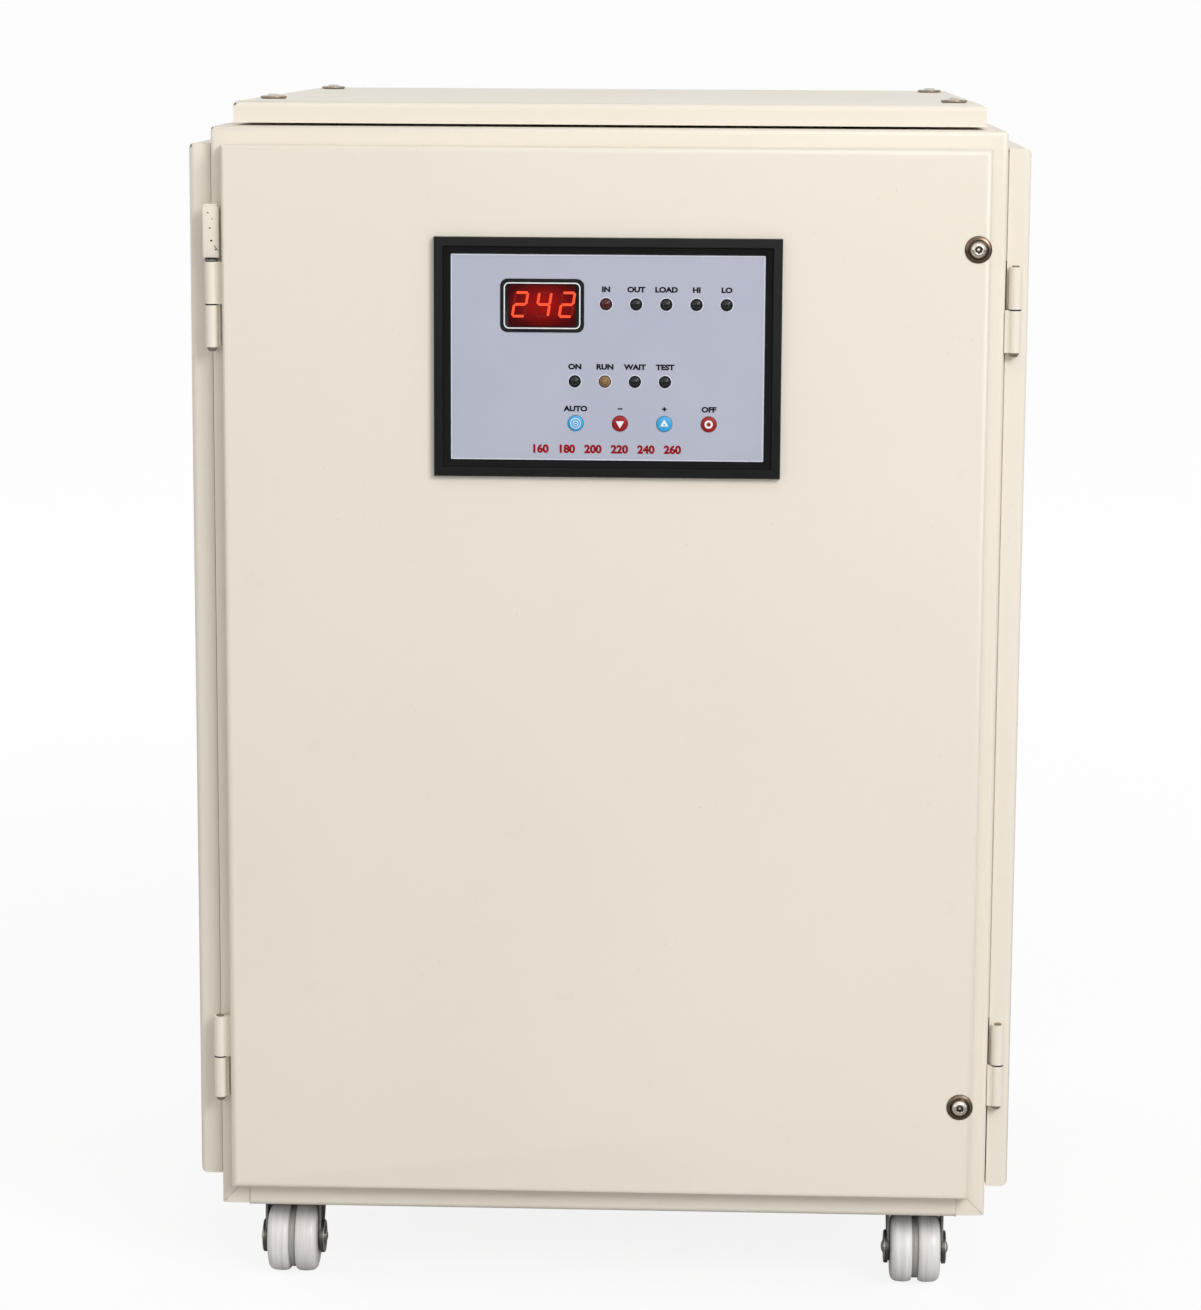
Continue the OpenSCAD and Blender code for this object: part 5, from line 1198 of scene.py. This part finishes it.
def ring_winding():
    """Copper turns laid round an insulated ring."""
    low, high, at = box_of("variac_coil")
    outer = (high.x - low.x) / 2
    height = high.z - low.z
    slack = WIRE * WIRE_SINK_SHARE
    near, far, rise, cut = WINDING_BORE + slack, outer - slack, height / 2 - slack, 1 * MM
    ring = turned([(near, cut - rise), (near + cut, -rise), (far - cut, -rise), (far, cut - rise),
                   (far, rise - cut), (far - cut, rise), (near + cut, rise), (near, rise - cut),
                   (near, cut - rise)], 64)
    new_piece("winding_core", moved(ring, at), insulation, smooth=30, stands_for="variac_coil")
    wide = outer - WINDING_BORE
    place = (WINDING_BORE + wide / 2, -WIRE / 2, 0)
    turns = []
    for k in range(WINDING_TURNS):
        turn = moved(rounded_band(wide, height, TURN_CORNER, WIRE, WIRE, 2), place)
        turns.append(moved(turn, turn=Matrix.Rotation(2 * math.pi * k / WINDING_TURNS, 3, "Z")))
    new_piece("winding_turns", moved(joined(turns), at), copper, "cabinet", smooth=50)


ring_winding()
finish_nodes(
    ("variac_base", zinc, 0.3, 35),
    ("brush_arm", aluminium, 0.3, 35),
    ("drive_gear", white_plastic, 0, 25),
    ("motor_pinion", brass, 0, 25),
    ("limit_switches", black_plastic, 0.4),
    ("carbon_brush", carbon, 0.3),
    ("servo_motor", zinc, 0.4, 35),
)
MOTOR_SCREW_PROFILE = [(0, 3.1), (2.2, 2.8), (2.6, 2.0), (2.6, 0.8), (0, 0.8)]
MOTOR_SCREW_PLACE = 19 * MM
MOTOR_TAB = mm(6.3, 0.8, 7)


def motor_end():
    """End cap, screws and terminal tabs on top of the motor's can."""
    low, high, at = box_of("servo_motor")
    r = (high.x - low.x) / 2
    cap = turned([(0, 0), (r - 1.2 * MM, 0), (r - 0.9 * MM, 0.6 * MM), (r - 3 * MM, 1.8 * MM), mm(9, 2.2),
                  mm(8.4, 3.2), mm(0, 3.4)])
    parts = [moved(cap, (at.x, at.y, high.z))]
    for k in range(3):
        turn = 2 * math.pi * k / 3 + 0.4
        parts.append(moved(lathe(MOTOR_SCREW_PROFILE, 20),
                           (at.x + MOTOR_SCREW_PLACE * math.cos(turn),
                            at.y + MOTOR_SCREW_PLACE * math.sin(turn), high.z)))
    new_piece("motor_end_cap", parts, black_plastic, "cabinet")
    tabs = [block(MOTOR_TAB, (at.x + dx * MM, at.y, high.z + 5.5 * MM), 0.15 * MM, 1) for dx in (-4, 4)]
    new_piece("motor_tabs", tabs, brass, "cabinet")


motor_end()


# Control board: each kind of part in its own finish

BOARD_X, BOARD_Y = mm(124, -9.15)
BOARD_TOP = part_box("board_parts")[0].z
SLEEVE_PROFILE = [(0, 0), (8.6, 0), (9, 0.5), (9, 1.8), (8.5, 2.4), (8.5, 3.0), (9, 3.6), (9, 27),
                  (8.6, 27.8), (7.6, 28), (7.6, 27.6), (0, 27.6)]
LID_PROFILE = [(0, 27.7), (7.5, 27.7), (7.5, 27.62), (0, 27.62)]
RELAY, RELAY_LID = mm(28, 16, 20), mm(24, 12, 0.4)
RELAY_COUNT, RELAY_PITCH, RELAY_X = 5, 22, 46
SUPPLY_CASE, SUPPLY_SLOT = mm(52, 44, 40), mm(2.2, 9, 0.12)
CAPACITOR_X, CAPACITOR_Y, CAPACITOR_PITCH = -56, 8, 22
VENT_CROSS = (mm(10, 0.5, 0.08), mm(0.5, 10, 0.08))
VENT_RISE = mm(0, 0, 27.74)
SUPPLY_AT, SINK_AT, STRIP_AT = (-42, 62), (-36, -66), (38, -84)
FIN_COUNT, FIN_T, SINK_W, SINK_DEPTH = 7, 1.6, 50, 30
STRIP, WAY_WALL = mm(66, 12, 14), mm(0.6, 12, 1.2)
WAY_COUNT, WAY_PITCH = 9, 7.2


def on_board(x, y, z=0.0):
    return (BOARD_X + x * MM, BOARD_Y + y * MM, BOARD_TOP + z * MM)


def board_parts():
    """Relays, supply, capacitors, heat sink and plug strip at the places of their solids."""
    relays = []
    for k in range(RELAY_COUNT):
        x, y, z = on_board(RELAY_X, (k - 2) * RELAY_PITCH, 10)
        relays += [block(RELAY, (x, y, z), 0.8 * MM, 3),
                   block(RELAY_LID, (x, y, z + 10.1 * MM), 0.15 * MM, 1)]
    new_piece("relays", relays, relay_blue, stands_for="board_parts")

    x, y = SUPPLY_AT
    new_piece("supply_case", [block(SUPPLY_CASE, on_board(x, y, 20), 1.2 * MM, 3)], aluminium, "cabinet")
    slots = [block(SUPPLY_SLOT, on_board(x + k * 5, y + row * 12, 40.02), 0.05 * MM, 1)
             for row in (-1, 0, 1) for k in range(-4, 5)]
    new_piece("supply_slots", slots, black_plastic, "cabinet")

    sleeves, tops = [], []
    for k in (0, 1, 2):
        at = on_board(CAPACITOR_X + k * CAPACITOR_PITCH, CAPACITOR_Y)
        sleeves.append(moved(lathe(SLEEVE_PROFILE, 36), at))
        cross = [block(size, VENT_RISE) for size in VENT_CROSS]
        tops += [moved(bm, at) for bm in [lathe(LID_PROFILE, 36)] + cross]
    new_piece("capacitor_sleeves", sleeves, black_plastic, "cabinet")
    new_piece("capacitor_tops", tops, aluminium, "cabinet")

    x, y = SINK_AT
    fins = [block(mm(SINK_W, SINK_DEPTH, 4), on_board(x, y, 2), 0.3 * MM)]
    for k in range(FIN_COUNT):
        fin_x = x - SINK_W / 2 + FIN_T / 2 + k * (SINK_W - FIN_T) / (FIN_COUNT - 1)
        fins.append(block(mm(FIN_T, SINK_DEPTH, 28.5), on_board(fin_x, y, 17.6), 0.25 * MM))
    new_piece("heat_sink", fins, aluminium, "cabinet")

    x, y = STRIP_AT
    strip, screws = [block(STRIP, on_board(x, y, 7), 0.5 * MM)], []
    for k in range(WAY_COUNT):
        at = on_board(x + (k - 4) * WAY_PITCH, y, 14)
        strip.append(block(WAY_WALL, (at[0] - 3.6 * MM, at[1], at[2] + 0.5 * MM), 0.1 * MM, 1))
        screws.append(screw_top(2.2 * MM, at))
    new_piece("plug_strip", strip, strip_green, "cabinet")
    new_piece("plug_strip_screws", screws, rivet_steel, "cabinet")


PIN_PITCH = 2.54
CHIP_RISE = 0.8
CHIPS = [(-20, 14, (52, 4.2, 14), 0.4, 20, 7.4), (38, 26, (20, 3.6, 7), 0.3, 8, 3.9),
         (38, 12, (20, 3.6, 7), 0.3, 8, 3.9)]
LEG = mm(0.9, 2.4, 0.6)
BUZZER_PROFILE = [(0, 0), (6, 0), (6, 8.2), (5.6, 8.8), (1.2, 9), (1.2, 8.4), (0, 8.4)]
LEAD_ROW, LEAD_RISE = -17, 1.6
LEADS_X, LYING_X = range(-24, 40, 8), (-22, -6, 10, 26)
UPRIGHT_X, UPRIGHT_ROW, UPRIGHT_RISE = (-44, -38, -32, -26, -8, -2), -3.2, 1.5
CAPACITORS_AT = [(60, -8), (60, -22), (48, -36)]
LEAD_PROFILE = [(0, -0.2), (0.35, -0.2), (0.35, 10.2), (0, 10.2)]
RESISTOR_PROFILE = [(0, 0), (0.9, 0), (1.2, 0.4), (1.2, 1.3), (0.95, 1.8), (0.95, 4.6), (1.2, 5.1),
                    (1.2, 6.0), (0.9, 6.4), (0, 6.4)]
SMALL_SLEEVE_PROFILE = [(0, 0), (4.1, 0), (4.1, 0.8), (3.8, 1.1), (4.1, 1.5), (4.1, 9.6), (3.7, 10),
                        (3.2, 9.9), (0, 9.9)]
SMALL_LID_PROFILE = [(0, 10.05), (3.2, 10.05), (3.2, 9.9), (0, 9.9)]
PLUGS = [(2, -36, 34, 10), (-36, -36, 20, 5)]
PLUG_SIZE = (9, 8)
PLUG_WALL, PLUG_WELL = mm(0.9, 6)
PIN, PIN_RISE = mm(0.7, 6, 0.7), 5.2
SOLDER_PROFILE = [(0, 0.9), (0.35, 0.8), (0.6, 0.35), (0.95, 0), (0, 0)]
SOLDER_ROWS = [(36, -66, 12, 2.54), (28, -66, 12, 2.54), (36, -20, 12, 7.2), (32, -20, 12, 7.2),
               (-26, -50, 16, 6.4), (-42, -66, 4, 5.0)]


def panel_board_parts():
    """Controller, supply parts, plugs and solder joints on the back of the panel's board."""
    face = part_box("display_board")[1].y
    centre = middle("display_board")
    body = BODY_OF["display_board"]

    def at(x, z, rise=0.0):
        return (centre.x + x * MM, face + rise * MM, centre.z + z * MM)

    chips, legs = [], []
    for x, z, size, ease, count, reach in CHIPS:
        chips.append(block(mm(*size), at(x, z, size[1] / 2 + CHIP_RISE), ease * MM))
        legs += [block(LEG, at(x + (k - (count - 1) / 2) * PIN_PITCH, z + side * reach, 1.2))
                 for k in range(count) for side in (-1, 1)]
    chips.append(moved(lathe(BUZZER_PROFILE, 36), at(-62, -34), FACING_BACK))
    new_piece("panel_board_chips", chips, black_plastic, body)
    legs += [moved(lathe(LEAD_PROFILE, 8), at(x, LEAD_ROW, LEAD_RISE), ALONG_X) for x in LEADS_X]
    new_piece("panel_board_legs", legs, rivet_steel, body)
    resistors = [moved(lathe(RESISTOR_PROFILE, 16), at(x, LEAD_ROW, LEAD_RISE), ALONG_X) for x in LYING_X]
    resistors += [moved(lathe(RESISTOR_PROFILE, 16), at(x, UPRIGHT_ROW, UPRIGHT_RISE)) for x in UPRIGHT_X]
    new_piece("panel_board_resistors", resistors, resistor_beige, body)
    sleeves, pins = [], []
    for x, z in CAPACITORS_AT:
        sleeves.append(moved(lathe(SMALL_SLEEVE_PROFILE, 32), at(x, z), FACING_BACK))
        pins.append(moved(lathe(SMALL_LID_PROFILE, 32), at(x, z), FACING_BACK))
    new_piece("panel_board_capacitors", sleeves, relay_blue, body)
    plugs = []
    for x, z, width, count in PLUGS:
        plug = block(mm(width, *PLUG_SIZE), at(x, z, PLUG_SIZE[0] / 2), 0.3 * MM, 1)
        rim = max(plug.faces, key=lambda shell: shell.calc_center_median().y)
        inset(plug, [rim], PLUG_WALL, even=False)
        inset(plug, [rim], 0.01 * MM, -PLUG_WELL, even=False)
        plugs.append(plug)
        pins += [block(PIN, at(x + (k - (count - 1) / 2) * PIN_PITCH, z + row * PIN_PITCH / 2, PIN_RISE))
                 for k in range(count) for row in (-1, 1)]
    new_piece("panel_board_plugs", plugs, white_plastic, body)
    new_piece("panel_board_pins", pins, aluminium, body)
    joints = [moved(lathe(SOLDER_PROFILE, 8), at(first + k * pitch, z), FACING_BACK)
              for z, first, count, pitch in SOLDER_ROWS for k in range(count)]
    new_piece("panel_board_solder", joints, solder, body)


finished_node("control_board", green_board, 0, 35)
board_parts()
panel_board_parts()


# Switchgear on the upright plate

finish_nodes(
    ("contactor", black_plastic, 0.6),
    ("contactor_slide", white_plastic, 0.5),
    ("breaker", white_plastic, 0.6),
    ("breaker_toggle", black_plastic, 0.4, 35),
    ("terminal_block", black_plastic, 0.4, 35),
)
POLE_PITCH, POLE_RISE, RIB_RISE = mm(13, 27, 28)
RIB = mm(1.4, 1.6, 17)
CONTACTOR_SCREW_R, BREAKER_SCREW_R, TERMINAL_SCREW_R = mm(4.0, 3.6, 3.2)
BREAKER_WINDOW = mm(9, 4, 0.6, 0.2)
BREAKER_WINDOW_RISE, BREAKER_MARK_RISE = mm(17, 12.6)
BREAKER_STEP = 12 * MM
BREAKER_SCREW_PLACE = mm(9, 33)
TERMINALS = 8
WELL_DEPTH = 6.5 * MM
NUMBER_PLACE = mm(-4.9, 4.8)
SMALL_CAP = 2.6 * MM
SMALL_BOLD = 0.02


def contactor_terminals():
    """Clamp screws above and below the contactor's slide, and its moulded ribs."""
    low, high, at = box_of("contactor")
    screws = [screw_top(CONTACTOR_SCREW_R, (at.x + k * POLE_PITCH, low.y - 0.2 * MM,
                                            at.z + level * POLE_RISE), FACING_FRONT)
              for level in (-1, 1) for k in (-1, 0, 1)]
    ribs = [block(RIB, (at.x + k * POLE_PITCH, low.y - 0.6 * MM, at.z + level * RIB_RISE),
                  0.4 * MM) for level in (-1, 1) for k in (-1.5, -0.5, 0.5, 1.5)]
    new_piece("contactor_screws", screws, rivet_steel, "cabinet")
    new_piece("contactor_ribs", ribs, black_plastic, "cabinet")


def breaker_marks():
    """Four pole screws, a green window and the word over it on the breaker."""
    low, high, at = box_of("breaker")
    across, up = BREAKER_SCREW_PLACE
    screws = [screw_top(BREAKER_SCREW_R, (at.x + k * across, low.y + BREAKER_STEP - 0.1 * MM,
                                          at.z + level * up), FACING_FRONT)
              for k in (-1, 1) for level in (-1, 1)]
    new_piece("breaker_screws", screws, rivet_steel, "cabinet")
    window = moved(rounded_plate(*BREAKER_WINDOW), (at.x, low.y - 0.12 * MM, at.z + BREAKER_WINDOW_RISE))
    new_piece("breaker_window", window, strip_green, "cabinet")
    mark = moved(words("ON", SMALL_CAP, bold=SMALL_BOLD), (at.x, low.y - INK / 2, at.z + BREAKER_MARK_RISE))
    new_piece("breaker_mark", mark, dark_print, "cabinet", smooth=0)


def terminal_screws():
    """Clamp screws in the terminal block's wells, and its numbers."""
    low, high, at = box_of("terminal_block")
    screws, numbers = [], []
    for k in range(TERMINALS):
        x = low.x + (k + 0.5) * (high.x - low.x) / TERMINALS
        screws.append(screw_top(TERMINAL_SCREW_R, (x, low.y + WELL_DEPTH, at.z), FACING_FRONT))
        numbers.append(moved(words(str(k + 1), SMALL_CAP, bold=SMALL_BOLD),
                             (x + NUMBER_PLACE[0], low.y - INK / 2, at.z + NUMBER_PLACE[1])))
    new_piece("terminal_screws", screws, brass, "cabinet")
    new_piece("terminal_numbers", numbers, white_print, "cabinet", smooth=0)


contactor_terminals()
breaker_marks()
terminal_screws()
finish_nodes(("right_latch", zinc, 0.4, 35), ("left_latch", zinc, 0.4, 35))


# Studio: a white sky for the camera and for mirrored rays, which lights the object only softly

SKY_SEEN = 0.98
SKY_LIGHT = 0.34

scene = bpy.context.scene
scene.view_settings.view_transform = "Standard"
world = bpy.data.worlds.new("studio")
scene.world = world
world.use_nodes = True
sky = world.node_tree
bright = sky.nodes["Background"]
feed(sky, bright.inputs["Color"], WHITE)
feed(sky, bright.inputs["Strength"], SKY_SEEN)
soft = add_node(sky, "ShaderNodeBackground", {"Color": (0.97, 0.98, 1.0, 1.0), "Strength": SKY_LIGHT})
rays = add_node(sky, "ShaderNodeLightPath").outputs
seen = add_node(sky, "ShaderNodeMath", {0: rays["Is Camera Ray"], 1: rays["Is Transmission Ray"]},
                operation="MAXIMUM")
seen_or_mirrored = add_node(sky, "ShaderNodeMath", {0: seen.outputs["Value"], 1: rays["Is Glossy Ray"]},
                            operation="MAXIMUM")
blend = add_node(sky, "ShaderNodeMixShader", {
    "Fac": seen_or_mirrored.outputs["Value"], 1: soft.outputs["Background"], 2: bright.outputs["Background"]})
feed(sky, sky.nodes["World Output"].inputs["Surface"], blend.outputs["Shader"])


def lamp(name, at, target, size, power, mirrored=True):
    """Oblong studio lamp; one that isn't mirrored leaves no glare on the coat."""
    data = bpy.data.lights.new(name, "AREA")
    data.shape = "RECTANGLE"
    data.size, data.size_y = size
    data.energy = power
    obj = bpy.data.objects.new(name, data)
    scene.collection.objects.link(obj)
    obj.visible_glossy = mirrored
    aim = (Vector(target) - Vector(at)).normalized()
    obj.matrix_world = Matrix.Translation(at) @ aim.to_track_quat("-Z", "Y").to_matrix().to_4x4()


SQUARE = (1.4, 1.4)
lamp("front key", (1.8, -2.7, 2.1), (0, -0.2, 0.35), SQUARE, 69)
lamp("front fill", (-2.2, -2.2, 1.2), (0, -0.2, 0.3), SQUARE, 7)
lamp("front soft", (0.2, -3.0, 1.2), (0, -0.2, 0.35), (2.0, 1.6), 10)
lamp("top strip", (0, -1.3, 2.4), (0, -0.2, 0.5), (2.0, 0.35), 5)
lamp("left side", (-2.6, 0.5, 1.2), (0, 0.1, 0.35), SQUARE, 14, mirrored=False)
lamp("back left", (-1.9, 1.9, 1.3), (0, 0.2, 0.35), SQUARE, 17, mirrored=False)
lamp("back right", (1.9, 1.9, 1.3), (0, 0.2, 0.35), SQUARE, 19, mirrored=False)

# Floor: a grey that lights the object from below only a little, which the camera sees as near white
# with the object's soft shadow in it

FLOOR_SIZE = 14.0
FLOOR_GREY = (0.48, 0.48, 0.48, 1)
FLOOR_SEEN = (0.95, 0.95, 0.95, 1)
WHITE_REACH = (0.5, 2.2)
WHITE_SHARES = (0.87, 0.975)

floor_mesh = bmesh.new()
bmesh.ops.create_grid(floor_mesh, x_segments=1, y_segments=1, size=FLOOR_SIZE)
floor_data = bpy.data.meshes.new("floor")
floor_mesh.to_mesh(floor_data)
floor_mesh.free()
floor = bpy.data.objects.new("floor", floor_data)
scene.collection.objects.link(floor)
pale = Finish("pale floor", FLOOR_GREY, 0.9, spec=0.0)
by_camera = pale.node("ShaderNodeLightPath").outputs["Is Camera Ray"]
pale.tint(by_camera, FLOOR_GREY, FLOOR_SEEN)
glow = pale.node("ShaderNodeEmission", {"Color": WHITE})
whiter_far = pale.spread(pale.far(pale.place), *WHITE_REACH, *WHITE_SHARES)
floor_blend = pale.node("ShaderNodeMixShader", {
    "Fac": pale.times(by_camera, whiter_far), 1: pale.shader.outputs["BSDF"], 2: glow.outputs["Emission"]})
feed(pale.tree, pale.tree.nodes["Material Output"].inputs["Surface"], floor_blend.outputs["Shader"])
floor_data.materials.append(pale.material)
